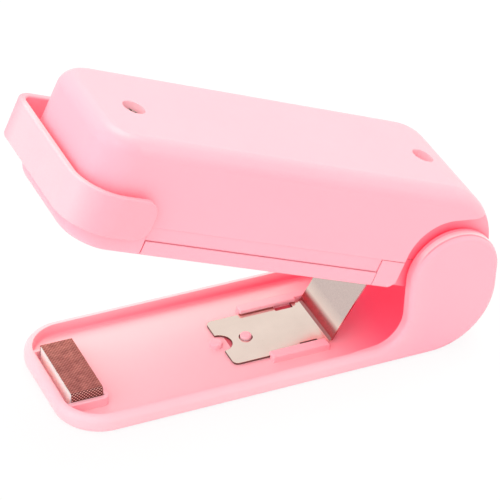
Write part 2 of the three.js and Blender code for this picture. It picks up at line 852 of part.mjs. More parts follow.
function lowerFrame() {
  const { back, nose } = frameRegions();
  const walls = skin.intersect(back.add(nose));
  const bodies = [
    walls, frameFloors(), frameBulkheads(), batteryBay(), leafPocketRoof(), noseShelf(), barrel,
    trunnion(1), trunnion(-1),
    screwPost(frontScrew, shelfHeight - shelfThickness / 2, frontPostHeight),
    screwPost(backScrew, roofBottom, backPostHeight),
  ];
  const latch = block(-doorBackReach - latchWall - 3 * fitGap, -doorBackReach + seamGap,
    -latchWidth / 2 - fitGap, latchWidth / 2 + fitGap, low,
    -undersideDrop + doorWall + latchHeight + fitGap);
  const cuts = [
    leafPocket(),
    heaterWindow(),
    latch,
    doorHook(1, fitGap),
    doorHook(-1, fitGap),
    yokeBore(1),
    yokeBore(-1),
    tabSlot(cellOffset),
    tabSlot(-cellOffset),
    tailCut(),
    uprightRod(plungerRadius + plungerGap, -switchReach, 0, low, high),
    uprightRod(screwShankRadius + filmGap, -frontScrew, screwSide,
      frontPostHeight - screwEngagement - fitGap, frontPostHeight + overrun),
    uprightRod(screwShankRadius + filmGap, -backScrew, screwSide,
      backPostHeight - screwEngagement - fitGap, backPostHeight + overrun),
  ];
  return piece('lower_frame', without(joined(bodies), cuts), colours.pinkCase);
}

// Battery door: the casing's own flanks and underside between the end seams
function batteryDoor() {
  const field = region([
    [doorBackReach, low], [doorBackReach, doorSeamHeight - seamGap],
    [doorFrontReach - seamGap, doorSeamHeight - seamGap], [doorFrontReach - seamGap, low],
  ]).subtract(region([
    [doorBackReach - overrun, low], [doorBackReach - overrun, high],
    [doorBackReach, high], [doorBackReach, low],
  ]));
  const hollow = block(-far, far, -halfArm + doorWall, halfArm - doorWall,
    -undersideDrop + doorWall, high);
  const panel = outerForm.intersect(field).subtract(hollow);
  const latch = block(-doorBackReach - latchWall, -doorBackReach, -latchWidth / 2, latchWidth / 2,
    -undersideDrop + doorWall / 2, -undersideDrop + doorWall + latchHeight);
  return piece('battery_door', joined([panel, latch, doorHook(1, 0), doorHook(-1, 0)]),
    colours.pinkCase);
}

// Locking yoke: a strap bent round the nose, with a stud in each end
function lockYoke() {
  const farIn = yokeFar - yokeWall;
  const nearIn = yokeNear - yokeWall;
  const farX = yokeFarRadius - yokeReach;
  const nearX = yokeNearRadius - yokeReach;
  const farY = yokeFar - yokeFarRadius;
  const nearY = yokeNearRadius - yokeNear;
  const shape = new THREE.Shape();
  shape.moveTo(-yokeEnd, yokeFar);
  shape.absarc(farX, farY, yokeFarRadius, Math.PI / 2, Math.PI, false);
  shape.absarc(nearX, nearY, yokeNearRadius, Math.PI, Math.PI * 3 / 2, false);
  shape.lineTo(-yokeEnd, -yokeNear);
  shape.lineTo(-yokeEnd, -nearIn);
  shape.absarc(nearX, nearY, yokeNearRadius - yokeWall, Math.PI * 3 / 2, Math.PI, true);
  shape.absarc(farX, farY, yokeFarRadius - yokeWall, Math.PI, Math.PI / 2, true);
  shape.lineTo(-yokeEnd, farIn);
  shape.closePath();
  const strap = planSweep(shape, yokeBottom, yokeTop, yokeEdge, 2 * cornerSteps);
  const endX = -yokeEnd - yokeEndRadius;
  const profile = new THREE.Shape();
  profile.moveTo(-far - overrun, yokeBottom - overrun);
  profile.lineTo(endX, yokeBottom - overrun);
  profile.lineTo(endX, yokeBottom);
  profile.absarc(endX, yokeBottom + yokeEndRadius, yokeEndRadius, -Math.PI / 2, 0, false);
  profile.absarc(endX, yokeTop - yokeEndRadius, yokeEndRadius, 0, Math.PI / 2, false);
  profile.lineTo(endX, yokeTop + overrun);
  profile.lineTo(-far - overrun, yokeTop + overrun);
  profile.closePath();
  const ends = strap.intersect(sideSweep(profile, -2 * yokeNear, 2 * yokeFar));
  const studEnd = halfArm - studDepth;
  const studs = [[studEnd, farIn + yokeWall / 2], [-nearIn - yokeWall / 2, -studEnd]].map(
    ([y0, y1]) => crossRod(studRadius, -yokePivot, yokePivotHeight, y0, y1));
  return piece('lock_yoke', joined([ends, ...studs]), colours.pinkYoke);
}

// Self-tapping screw with a slotted pan head, point down
function screw(name, reach, depth, postHeight) {
  const seat = crownHeight - depth - screwHeadHeight + filmGap;
  const foot = postHeight - screwEngagement;
  const profile = [
    [0, foot], [screwShankRadius / 2, foot], [screwShankRadius, foot + screwShankRadius],
    [screwShankRadius, seat], [screwHeadRadius, seat],
    [screwHeadRadius, seat + screwHeadHeight / 2],
    [screwHeadRadius * Math.SQRT1_2, seat + screwHeadHeight],
    [0, seat + screwHeadHeight],
  ].map(([r, h]) => new THREE.Vector2(r, h));
  const geometry = new THREE.LatheGeometry(profile, rodSides);
  geometry.rotateX(Math.PI / 2);
  geometry.translate(-reach, screwSide, 0);
  const top = seat + screwHeadHeight;
  const long = screwHeadRadius / 2;
  const wide = screwSlotWidth / 2;
  const cross = [[long, wide], [wide, long]].map(([dx, dy]) => block(
    -reach - dx, -reach + dx, screwSide - dy, screwSide + dy, top - screwSlotDepth, top + overrun));
  return piece(name, without(solid(geometry), cross), colours.nickel);
}

// Cell lying along X, its nub towards the nose (direction -1) or towards the hinge (+1)
function cell(name, y, direction) {
  const body = cellLength - cellNubHeight;
  const profile = [
    [0, 0], [cellRadius - cellShoulder, 0], [cellRadius, cellShoulder],
    [cellRadius, body - cellShoulder], [cellRadius - cellShoulder, body],
    [cellNubRadius, body], [cellNubRadius, cellLength], [0, cellLength],
  ].map(([r, h]) => new THREE.Vector2(r, h));
  const geometry = new THREE.LatheGeometry(profile, rodSides);
  geometry.rotateZ(direction > 0 ? -Math.PI / 2 : Math.PI / 2);
  const start = direction > 0
    ? -bayBack - contactThickness - 3 * filmGap - cellLength
    : -bayFront + contactThickness + 3 * filmGap + cellLength;
  geometry.translate(start, y, cellHeight);
  return piece(name, solid(geometry), colours.cell);
}

function contactPlate(x0, y0, y1) {
  return block(x0, x0 + contactThickness, y0, y1,
    cellHeight - contactHeight / 2, cellHeight + contactHeight / 2);
}

function bridgeContact() {
  const end = cellOffset + contactWidth / 2;
  const body = contactPlate(-bayFront + filmGap, -end, end);
  return piece('contact_bridge', body, colours.nickel);
}

// A contact at the bay's back wall, with a solder tab that stands up through the bay's roof
function backContact(name, y) {
  const x0 = -bayBack - filmGap - contactThickness;
  const plate = contactPlate(x0, y - contactWidth / 2, y + contactWidth / 2);
  const tab = block(x0, x0 + contactThickness, y - tabWidth / 2, y + tabWidth / 2,
    cellHeight, bayRoof + bayWall + tabRise);
  return piece(name, plate.add(tab), colours.nickel);
}

function tabSlot(y) {
  return block(-bayBack - contactThickness - fitGap, -bayBack,
    y - tabWidth / 2 - fitGap, y + tabWidth / 2 + fitGap, cellHeight, bayRoof + bayWall + overrun);
}

// Wire coil along X, wound as one tube
function coilSpring(name, y, x0, length) {
  const total = springTurns * springSteps;
  const wire = springWire / 2;
  const rings = Array.from({ length: total + 1 }, (_, i) => {
    const angle = (i / total) * springTurns * 2 * Math.PI;
    const x = x0 + wire + (i / total) * (length - springWire);
    return Array.from({ length: springSides }, (__, j) => {
      const turn = (j / springSides) * 2 * Math.PI;
      const radius = springRadius + wire * Math.cos(turn);
      return [x - wire * Math.sin(turn), y + radius * Math.cos(angle),
        cellHeight + radius * Math.sin(angle)];
    });
  });
  return piece(name, stack(rings), colours.nickel);
}

// Heater pieces, drawn with the pressing face at height zero and facing down
function heaterPieces() {
  const group = new THREE.Group();
  const coverTop = coverThickness + filmGap;
  const ribbonTop = coverTop + ribbonThickness + filmGap;
  const half = heaterLength / 2;
  const blockBody = block(-heaterWidth / 2 + coverThickness + filmGap,
    heaterWidth / 2 - coverThickness - filmGap, -half + ribbonThickness + filmGap,
    half - ribbonThickness - filmGap, ribbonTop, heaterTop);
  group.add(piece('heater_block', blockBody, colours.ceramic));
  const ribbon = outline([
    [-half, coverTop], [half, coverTop], [half, heaterTop + terminalHeight / 2],
    [half - ribbonThickness, heaterTop + terminalHeight / 2],
    [half - ribbonThickness, coverTop + ribbonThickness],
    [ribbonThickness - half, coverTop + ribbonThickness],
    [ribbonThickness - half, heaterTop + terminalHeight / 2],
    [-half, heaterTop + terminalHeight / 2],
  ]);
  group.add(piece('heating_ribbon', lengthSweep(ribbon, -ribbonWidth / 2, ribbonWidth / 2),
    colours.nickel));
  const coverBody = block(-heaterWidth / 2, heaterWidth / 2, -half + coverThickness,
    half - coverThickness, 0, heaterTop - coverThickness)
    .subtract(block(-heaterWidth / 2 + coverThickness, heaterWidth / 2 - coverThickness,
      -half - overrun, half + overrun, coverThickness, heaterTop + overrun));
  group.add(piece('heater_cover', coverBody, colours.cover));
  for (const side of [1, -1]) {
    const y0 = side > 0 ? half + filmGap : -half - filmGap - terminalThickness;
    const body = block(-ribbonWidth / 2, ribbonWidth / 2, y0, y0 + terminalThickness,
      heaterTop, heaterTop + terminalHeight);
    group.add(piece(side > 0 ? 'heater_terminal_left' : 'heater_terminal_right', body, colours.brass));
  }
  group.position.set(heater.x, 0, heater.z);
  group.rotation.y = closedTilt;
  return group;
}

// Switch on the pocket's roof, and the plunger that the leaf's tip pushes up
function switchBody() {
  const x = -switchReach;
  const body = block(x - switchLength / 2, x + switchLength / 2, -switchWidth / 2, switchWidth / 2,
    switchBottom, switchTop);
  const bore = uprightRod(plungerRadius + plungerGap, x, 0, low, roofTop + plungerLength);
  return piece('switch_body', body.subtract(bore), colours.black);
}

function switchPlunger() {
  const foot = roofBottom - fitGap;
  const profile = [
    [0, foot], [plungerRadius / 2, foot], [plungerRadius, foot + plungerRadius / 2],
    [plungerRadius, foot + plungerLength], [0, foot + plungerLength],
  ].map(([r, h]) => new THREE.Vector2(r, h));
  const geometry = new THREE.LatheGeometry(profile, rodSides);
  geometry.rotateX(Math.PI / 2);
  geometry.translate(-switchReach, 0, 0);
  return piece('switch_plunger', solid(geometry), colours.ceramic);
}

// Insulated wire through a few points
function wire(name, points, look) {
  const curve = new THREE.CatmullRomCurve3(points.map((p) => new THREE.Vector3(...p)));
  const section = new THREE.Shape();
  for (let i = 0; i < wireSides; i += 1) {
    const angle = (i / wireSides) * 2 * Math.PI;
    const x = wireRadius * Math.cos(angle);
    const y = wireRadius * Math.sin(angle);
    if (i === 0) section.moveTo(x, y);
    else section.lineTo(x, y);
  }
  section.closePath();
  const geometry = new THREE.ExtrudeGeometry(section, { steps: wireSteps, extrudePath: curve });
  return piece(name, solid(geometry), look);
}

// Wires run up in front of the bay, along its roof, and to the tabs and the switch behind it
function wires() {
  const roof = bayRoof + bayWall + wireRadius + fitGap;
  const noseX = -doorFrontReach - seamGap - bulkheadWall - 2 * wireRadius - fitGap;
  const terminal = [heater.x + terminalHeight * Math.sin(closedTilt),
    heaterLength / 2 + filmGap + terminalThickness / 2,
    heater.z + heaterTop + terminalHeight + wireRadius + fitGap];
  const tabX = -bayBack - filmGap - contactThickness - wireRadius - fitGap;
  const overSwitch = switchTop + wireRadius + fitGap;
  const switchY = switchWidth / 4;
  const laneY = cellOffset + contactWidth / 4;
  const [terminalX, terminalY, terminalZ] = terminal;
  return [
    wire('wire_positive', [
      [terminalX, terminalY, terminalZ], [noseX, terminalY, roof / 2], [noseX, laneY, roof],
      [(noseX + tabX) / 2, laneY, roof], [tabX, cellOffset, roof],
    ], colours.redWire),
    wire('wire_heater', [
      [terminalX, -terminalY, terminalZ], [noseX, -terminalY, roof / 2], [noseX, -laneY, roof],
      [(noseX + tabX) / 2, -laneY, roof], [-bayBack, -laneY, roof],
      [-switchReach, -2 * switchY, roof], [-switchReach, -switchY, overSwitch],
    ], colours.blackWire),
    wire('wire_negative', [
      [-bayBack + wireRadius + fitGap, -cellOffset, roof],
      [-switchReach, 0, roof], [-switchReach, switchY, overSwitch],
    ], colours.blackWire),
  ];
}

function upperArm() {
  const arm = new THREE.Group();
  const springBack = -bayBack - filmGap - contactThickness - filmGap - springLength;
  const springFront = -bayFront + filmGap + contactThickness + filmGap;
  arm.add(
    topShell(),
    lowerFrame(),
    batteryDoor(),
    lockYoke(),
    screw('screw_front', frontScrew, frontScrewDepth, frontPostHeight),
    screw('screw_back', backScrew, backScrewDepth, backPostHeight),
    cell('battery_left', -cellOffset, -1),
    cell('battery_right', cellOffset, 1),
    bridgeContact(),
    backContact('contact_positive', cellOffset),
    backContact('contact_negative', -cellOffset),
    coilSpring('contact_spring_left', -cellOffset, springBack, springLength),
    coilSpring('contact_spring_right', cellOffset, springFront, springLength),
    heaterPieces(),
    switchBody(),
    switchPlunger(),
    ...wires(),
  );
  arm.position.set(hingeReach, 0, hingeHeight);
  arm.rotation.y = openAngle;
  return arm;
}

const sealer = new THREE.Group();
sealer.add(lowerArm(), leafSpring(), sealingPad(), padCover(), upperArm());
sealer.updateMatrixWorld(true);
const reach = new THREE.Box3().setFromObject(sealer, true);
sealer.position.x = -(reach.min.x + reach.max.x) / 2;

const group = new THREE.Group();
group.add(sealer);

export default group;
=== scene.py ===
"""Looks of a hand-held bag sealer: moulded arms, sprung leaf, pad, yoke and what is inside them."""
import logging
import math
from collections.abc import Callable, Iterable
from dataclasses import dataclass, field
from enum import Enum

import bmesh
import bpy
from mathutils import Matrix, Vector


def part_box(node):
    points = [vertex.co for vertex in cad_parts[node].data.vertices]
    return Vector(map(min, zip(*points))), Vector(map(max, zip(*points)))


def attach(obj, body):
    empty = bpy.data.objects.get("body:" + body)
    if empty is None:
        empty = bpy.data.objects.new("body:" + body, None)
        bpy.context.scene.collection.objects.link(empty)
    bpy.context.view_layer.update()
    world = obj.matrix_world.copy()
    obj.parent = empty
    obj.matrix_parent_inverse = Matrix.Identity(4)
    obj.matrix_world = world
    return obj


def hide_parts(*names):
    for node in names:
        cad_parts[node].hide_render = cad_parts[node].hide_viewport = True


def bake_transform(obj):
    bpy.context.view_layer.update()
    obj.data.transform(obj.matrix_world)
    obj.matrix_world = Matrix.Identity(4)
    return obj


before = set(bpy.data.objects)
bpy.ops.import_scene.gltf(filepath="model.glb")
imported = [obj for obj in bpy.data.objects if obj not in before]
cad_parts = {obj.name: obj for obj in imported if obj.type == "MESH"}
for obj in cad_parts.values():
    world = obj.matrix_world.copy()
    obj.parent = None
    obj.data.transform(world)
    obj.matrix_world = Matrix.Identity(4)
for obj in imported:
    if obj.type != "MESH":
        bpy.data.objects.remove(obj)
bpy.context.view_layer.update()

LOG = logging.getLogger("bag_sealer")
MILLIMETRE = 0.001
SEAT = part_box("lower_arm")[0].x / MILLIMETRE
# Coordinates closer than this are the same
NEAR = 1e-3
# Share of a normal along an axis under which its face stands along that axis
ASLANT = 0.3

Colour = tuple[int, int, int]
Point = tuple[float, float]
Triple = tuple[float, float, float]
Edge = bmesh.types.BMEdge
Solid = bpy.types.Object


@dataclass(frozen=True)
class Layout:
    """Sizes that several pieces share, in millimetres.

    Each screw has its reach and depth. The last four are for tools: how high they go, how far
    past a surface or over an edge they cut, and the play that they leave round a part.
    """

    floor: float = 1.4
    rim: float = 4.65
    tip_radius: float = 11.2
    heel_radius: float = 16.4
    ear_radius: float = 11.7
    hinge_reach: float = 98.05
    hinge_height: float = 21.66
    peg_reach: float = 52.95
    crown: float = 21.1
    stud_reach: float = 89.4
    stud_height: float = 1
    front_screw: Point = (91, 1.3)
    back_screw: Point = (10, 4.6)
    screw_side: float = -1
    head_height: float = 1.7
    high: float = 60
    past: float = 5
    over: float = 1
    gap: float = 0.3


SHARED = Layout()


class Plane(Enum):
    """The plane that an outline is drawn in: its two directions, its normal and its turn."""

    SIDE = ((1, 0, 0), (0, 0, 1), (0, 1, 0), 1)
    PLAN = ((1, 0, 0), (0, 1, 0), (0, 0, 1), -1)
    END = ((0, 1, 0), (0, 0, 1), (1, 0, 0), -1)


class Part(Enum):
    """What a selection picks."""

    VERT = "verts"
    EDGE = "edges"
    FACE = "faces"


class Body(Enum):
    """The bodies that the pieces ride on."""

    LOWER = "lower_arm"
    UPPER = "upper_arm"
    DOOR = "battery_door"
    YOKE = "lock_yoke"


# Shop floor: modelling moves, all in millimetres


def leave() -> None:
    """Returns to object mode."""
    bpy.ops.object.mode_set(mode="OBJECT")


def deselect() -> None:
    """Clears the selection in object mode."""
    if bpy.context.object and bpy.context.object.mode != "OBJECT":
        leave()
    bpy.ops.object.select_all(action="DESELECT")


def settle() -> None:
    """Moves the active object's place, turn and scale into its mesh."""
    bpy.ops.object.transform_apply(location=True, rotation=True, scale=True)


def focus(obj: Solid) -> None:
    """Makes one object selected and active."""
    deselect()
    obj.select_set(True)
    bpy.context.view_layer.objects.active = obj


def pick(obj: Solid, part: Part, test: Callable[[object], bool]) -> int:
    """Enters edit mode, selects the elements that pass a test and returns how many they are."""
    focus(obj)
    bpy.ops.object.mode_set(mode="EDIT")
    bpy.ops.mesh.select_mode(type=part.name)
    bpy.ops.mesh.select_all(action="DESELECT")
    mesh = bmesh.from_edit_mesh(obj.data)
    chosen = [element for element in getattr(mesh, part.value) if test(element)]
    for element in chosen:
        element.select_set(True)
    bmesh.update_edit_mesh(obj.data)
    return len(chosen)


def middle(edge: Edge) -> Vector:
    """Returns the middle of an edge."""
    return (edge.verts[0].co + edge.verts[1].co) / 2


def runs_along(edge: Edge, axis: int, share: float = 0.999) -> bool:
    """Tells whether an edge runs along an axis."""
    way = edge.verts[1].co - edge.verts[0].co
    return way.length > 0 and abs(way[axis]) >= share * way.length


def folds(edge: Edge, least: float = 60) -> bool:
    """Tells whether two faces meet at an edge at an angle over a number of degrees."""
    return len(edge.link_faces) == 2 and edge.calc_face_angle(0) > math.radians(least)


def sits_at(value: float, place: float) -> bool:
    """Tells whether a coordinate is at a place."""
    return abs(value - place) < NEAR


def on_circle(centre: Point, radius: float, angle: float) -> Point:
    """Returns the point of a circle at an angle in radians."""
    return centre[0] + radius * math.cos(angle), centre[1] + radius * math.sin(angle)


def box(name: str, start: Iterable[float], end: Iterable[float]) -> Solid:
    """Adds a box between two opposite corners and returns it."""
    deselect()
    low, high = Vector([*map(min, start, end)]), Vector([*map(max, start, end)])
    bpy.ops.mesh.primitive_cube_add(size=1, location=(low + high) / 2)
    obj = bpy.context.object
    obj.name = name
    obj.scale = high - low
    settle()
    return obj


def rod(name: str, radius: float, start: Iterable[float], end: Iterable[float],
        sides: int = 64) -> Solid:
    """Adds a rod between two points.

    Args:
        name: The object's name.
        radius: The rod's radius.
        start: The centre of one end.
        end: The centre of the other end.
        sides: Faces round it.

    Returns:
        The rod, with its place in its mesh.
    """
    deselect()
    start, end = Vector(start), Vector(end)
    way = end - start
    bpy.ops.mesh.primitive_cylinder_add(vertices=sides, radius=radius, depth=way.length)
    obj = bpy.context.object
    obj.name = name
    obj.rotation_euler = way.to_track_quat("Z", "Y").to_euler()
    obj.location = (start + end) / 2
    settle()
    return obj


def bevel(obj: Solid, width: float, segments: int, test: Callable[[Edge], bool]) -> None:
    """Rounds the edges that pass a test.

    Args:
        obj: The mesh object.
        width: The round's radius on square corners.
        segments: Steps across the round.
        test: Called with each edge.
    """
    if pick(obj, Part.EDGE, test):
        bpy.ops.mesh.bevel(offset=width, segments=segments, affect="EDGES", clamp_overlap=False)
        bpy.ops.mesh.select_all(action="SELECT")
        bpy.ops.mesh.remove_doubles(threshold=NEAR)
    leave()


def modify(obj: Solid, kind: str, **settings: object) -> Solid:
    """Adds a modifier with its settings, applies it and returns the object."""
    focus(obj)
    modifier = obj.modifiers.new(kind.lower(), kind)
    for key, value in settings.items():
        setattr(modifier, key, value)
    bpy.ops.object.modifier_apply(modifier=modifier.name)
    return obj


def carve(obj: Solid, tools: Iterable[Solid], how: str) -> Solid:
    """Cuts, joins or intersects a body with tools, which are used up.

    Args:
        obj: The body that stays.
        tools: The other bodies.
        how: DIFFERENCE, UNION or INTERSECT.

    Returns:
        The body.
    """
    for tool in tools:
        modify(obj, "BOOLEAN", object=tool, operation=how, solver="EXACT")
        bpy.data.objects.remove(tool)
    return obj


def cut(obj: Solid, *tools: Solid) -> Solid:
    """Cuts a body with each tool in turn and returns it."""
    return carve(obj, tools, "DIFFERENCE")


def fuse(obj: Solid, *others: Solid) -> Solid:
    """Joins each of the others to a body and returns it."""
    return carve(obj, others, "UNION")


def keep(obj: Solid, tool: Solid) -> Solid:
    """Keeps what a body shares with a tool and returns it."""
    return carve(obj, [tool], "INTERSECT")


def copy_of(obj: Solid, name: str) -> Solid:
    """Copies an object with its own mesh and returns the copy."""
    twin = obj.copy()
    twin.data = obj.data.copy()
    twin.name = name
    bpy.context.scene.collection.objects.link(twin)
    return twin


class Pen:
    """Draws an outline as a chain of edges and makes it a sheet or a body."""

    def __init__(self, name: str, plane: Plane, start: Point, level: float = 0) -> None:
        """Puts the pen down.

        Args:
            name: The object's name.
            plane: The plane to draw in.
            start: The first point.
            level: The plane's place along its normal.
        """
        self.across, self.up, self.normal, self.turn = plane.value
        self.level = level
        self.here = start
        deselect()
        bpy.ops.mesh.primitive_plane_add(size=1)
        self.obj = bpy.context.object
        self.obj.name = name
        bpy.ops.object.mode_set(mode="EDIT")
        bpy.ops.mesh.select_mode(type="VERT")
        bpy.ops.mesh.merge(type="CENTER")
        bpy.ops.transform.translate(value=self._place(start))

    def _place(self, point: Point) -> Vector:
        """Returns a drawn point's place."""
        a, b = point
        return Vector(self.across) * a + Vector(self.up) * b + Vector(self.normal) * self.level

    def _extrude(self, depth: float) -> None:
        """Sweeps what is selected along the plane's normal."""
        bpy.ops.mesh.extrude_region_move(
            TRANSFORM_OT_translate={"value": Vector(self.normal) * depth})

    def _closed(self) -> Solid:
        """Turns all faces outwards and returns the body."""
        bpy.ops.mesh.select_all(action="SELECT")
        bpy.ops.mesh.normals_make_consistent(inside=False)
        leave()
        return self.obj

    def line(self, *points: Point) -> "Pen":
        """Draws straight to each point in turn and returns the pen."""
        for point in points:
            way = self._place(point) - self._place(self.here)
            bpy.ops.mesh.extrude_vertices_move(TRANSFORM_OT_translate={"value": way})
            self.here = point
        return self

    def arc(self, centre: Point, degrees: float, steps: int) -> "Pen":
        """Draws round a centre.

        Args:
            centre: The arc's centre.
            degrees: The turn, anticlockwise as the plane is drawn.
            steps: Edges along the arc.

        Returns:
            The pen.
        """
        turn = math.radians(degrees)
        bpy.ops.mesh.spin(steps=steps, angle=turn, center=self._place(centre),
                          axis=[self.turn * value for value in self.normal], dupli=False)
        a, b = self.here[0] - centre[0], self.here[1] - centre[1]
        self.here = (centre[0] + a * math.cos(turn) - b * math.sin(turn),
                     centre[1] + a * math.sin(turn) + b * math.cos(turn))
        return self

    def sheet(self, depth: float) -> Solid:
        """Sweeps the open outline along the plane's normal and returns the thin sheet."""
        bpy.ops.mesh.select_all(action="SELECT")
        self._extrude(depth)
        leave()
        return self.obj

    def body(self, depth: float) -> Solid:
        """Closes and fills the outline, sweeps it along the plane's normal and returns the body."""
        bpy.ops.mesh.select_all(action="SELECT")
        bpy.ops.mesh.remove_doubles(threshold=NEAR)
        bpy.ops.mesh.edge_face_add()
        self._extrude(depth)
        return self._closed()

    def turned(self, centre: Point, along: Triple, steps: int = 48) -> Solid:
        """Turns the open outline once round an axis.

        Args:
            centre: A point on the axis, as drawn.
            along: The axis's direction.
            steps: Faces round it.

        Returns:
            The closed body.
        """
        bpy.ops.mesh.select_all(action="SELECT")
        bpy.ops.mesh.spin(steps=steps, angle=2 * math.pi, center=self._place(centre),
                          axis=along, dupli=False)
        bpy.ops.mesh.select_all(action="SELECT")
        bpy.ops.mesh.remove_doubles(threshold=NEAR)
        return self._closed()


# Finishes: node materials


def math_node(operation: str, swapped: bool = False) -> Callable:
    """Returns a method of Value that adds a Math node.

    Args:
        operation: The node's operation.
        swapped: Puts the other number first.

    Returns:
        The method, which takes at most one other number and returns the node's result.
    """
    def method(self: "Value", *other: object) -> "Value":
        """Returns the node's result."""
        terms = (*other, self) if swapped else (self, *other)
        return self.graph.node("ShaderNodeMath", {"operation": operation}, dict(enumerate(terms)))
    return method


class Value:
    """A shader socket's number, colour or vector. Comparisons give 1 or 0."""

    def __init__(self, graph: "Graph", socket: bpy.types.NodeSocket) -> None:
        """Holds one output socket of a graph."""
        self.graph = graph
        self.socket = socket

    __add__ = __radd__ = math_node("ADD")
    __mul__ = __rmul__ = math_node("MULTIPLY")
    __sub__ = math_node("SUBTRACT")
    __rsub__ = math_node("SUBTRACT", swapped=True)
    __truediv__ = math_node("DIVIDE")
    __gt__ = math_node("GREATER_THAN")
    __lt__ = math_node("LESS_THAN")
    __abs__ = math_node("ABSOLUTE")
    at_least = math_node("MAXIMUM")
    sine = math_node("SINE")
    root = math_node("SQRT")


def linear(red: int, green: int, blue: int) -> tuple[float, float, float, float]:
    """Turns a colour written in 0 to 255 into the numbers that a shader takes."""
    def channel(value: int) -> float:
        """Returns one channel."""
        share = value / 255
        return share / 12.92 if share <= 0.04045 else ((share + 0.055) / 1.055) ** 2.4
    return channel(red), channel(green), channel(blue), 1.0


class Graph:
    """A node graph that ends in one output node."""

    def __init__(self, tree: bpy.types.NodeTree, output: str) -> None:
        """Empties a tree and adds its output node."""
        self.tree = tree
        tree.nodes.clear()
        self.output = self.add(output)

    def add(self, kind: str, settings: dict[str, object] | None = None,
            inputs: dict[object, object] | None = None) -> bpy.types.Node:
        """Adds a node.

        Args:
            kind: The node's type.
            settings: Properties by name.
            inputs: Values or links by socket name or number.

        Returns:
            The node.
        """
        made = self.tree.nodes.new(kind)
        for key, value in (settings or {}).items():
            setattr(made, key, value)
        for key, value in (inputs or {}).items():
            self.set(made, key, value)
        return made

    def node(self, kind: str, settings: dict[str, object] | None = None,
             inputs: dict[object, object] | None = None, output: object = 0) -> Value:
        """Adds a node and returns the output socket with a name or number."""
        return Value(self, self.add(kind, settings, inputs).outputs[output])

    def set(self, made: bpy.types.Node, key: object, value: object) -> None:
        """Sets or links one socket of a node."""
        if isinstance(value, Value):
            self.tree.links.new(value.socket, made.inputs[key])
        else:
            made.inputs[key].default_value = value

    def place(self) -> Value:
        """Returns the object's own coordinates in millimetres."""
        here = self.node("ShaderNodeTexCoord", output="Object")
        return self.node("ShaderNodeVectorMath", {"operation": "SCALE"},
                         {0: here, "Scale": 1 / MILLIMETRE})

    def split(self, vector: Value) -> tuple[Value, ...]:
        """Returns a vector's three numbers."""
        made = self.add("ShaderNodeSeparateXYZ", None, {0: vector})
        return tuple(Value(self, socket) for socket in made.outputs)

    def stretch(self, vector: Value, scale: Triple) -> Value:
        """Returns a vector times a scale for each direction."""
        return self.node("ShaderNodeMapping", None, {"Vector": vector, "Scale": scale})

    def noise(self, vector: Value, scale: float, detail: float) -> Value:
        """Returns a noise between 0 and 1 whose lumps are 1 / scale wide."""
        return self.node("ShaderNodeTexNoise", None,
                         {"Vector": vector, "Scale": scale, "Detail": detail})

    def clamp(self, value: Value) -> Value:
        """Returns a number kept between 0 and 1."""
        return self.node("ShaderNodeClamp", None, {"Value": value})

    def share(self, value: Value, start: float, end: float) -> Value:
        """Returns how far a number has come from a start to an end, from 0 to 1."""
        return self.clamp((value - start) / (end - start))

    def blend(self, mask: object, *sides: object) -> Value:
        """Returns a colour between two, by a mask: linked, shader numbers, or three from 0 to 255."""
        first, second = (side if isinstance(side, Value) or len(side) == 4 else linear(*side)
                         for side in sides)
        return self.node("ShaderNodeMix", {"data_type": "RGBA"}, {0: mask, 6: first, 7: second}, 2)

    def mix(self, mask: object, first: Value, second: Value) -> Value:
        """Returns a shader between two, by a mask."""
        return self.node("ShaderNodeMixShader", None, {0: mask, 1: first, 2: second})

    def bump(self, height: Value, depth: float, edge: float = 0) -> Value:
        """Returns a normal raised by a height.

        Args:
            height: The height, from 0 to 1.
            depth: What a height of 1 stands for, in millimetres.
            edge: Radius that sharp edges are softened by, in millimetres.

        Returns:
            The normal.
        """
        inputs = {"Height": height, "Distance": depth * MILLIMETRE, "Strength": 1}
        if edge:
            inputs["Normal"] = self.node("ShaderNodeBevel", {"samples": 6},
                                         {"Radius": edge * MILLIMETRE})
        return self.node("ShaderNodeBump", None, inputs)


class Surface(Graph):
    """The node graph of one material with a Principled surface."""

    def __init__(self, name: str) -> None:
        """Makes the material."""
        self.material = bpy.data.materials.new(name)
        self.material.use_nodes = True
        super().__init__(self.material.node_tree, "ShaderNodeOutputMaterial")
        self.shader = self.node("ShaderNodeBsdfPrincipled")
        self.set(self.output, "Surface", self.shader)

    def finish(self, **sockets: object) -> bpy.types.Material:
        """Sets the surface's sockets, with _ for a space in their names, and returns the material."""
        for key, value in sockets.items():
            self.set(self.shader.socket.node, key.replace("_", " "), value)
        return self.material


@dataclass(frozen=True)
class Finish:
    """A named colour that a subclass makes a material of."""

    name: str
    colour: Colour

    def make(self) -> bpy.types.Material:
        """Returns the material."""
        surface = Surface(self.name)
        return surface.finish(**self.sockets(surface, surface.place()))

    def sockets(self, graph: Graph, here: Value) -> dict[str, object]:
        """Returns the surface's inputs at a place."""
        raise NotImplementedError

    def worn(self, graph: Graph, mask: Value, steps: int) -> Value:
        """Returns the colour, a number of steps darker where a mask is 1."""
        return graph.blend(mask, self.colour, [max(0, value - steps) for value in self.colour])


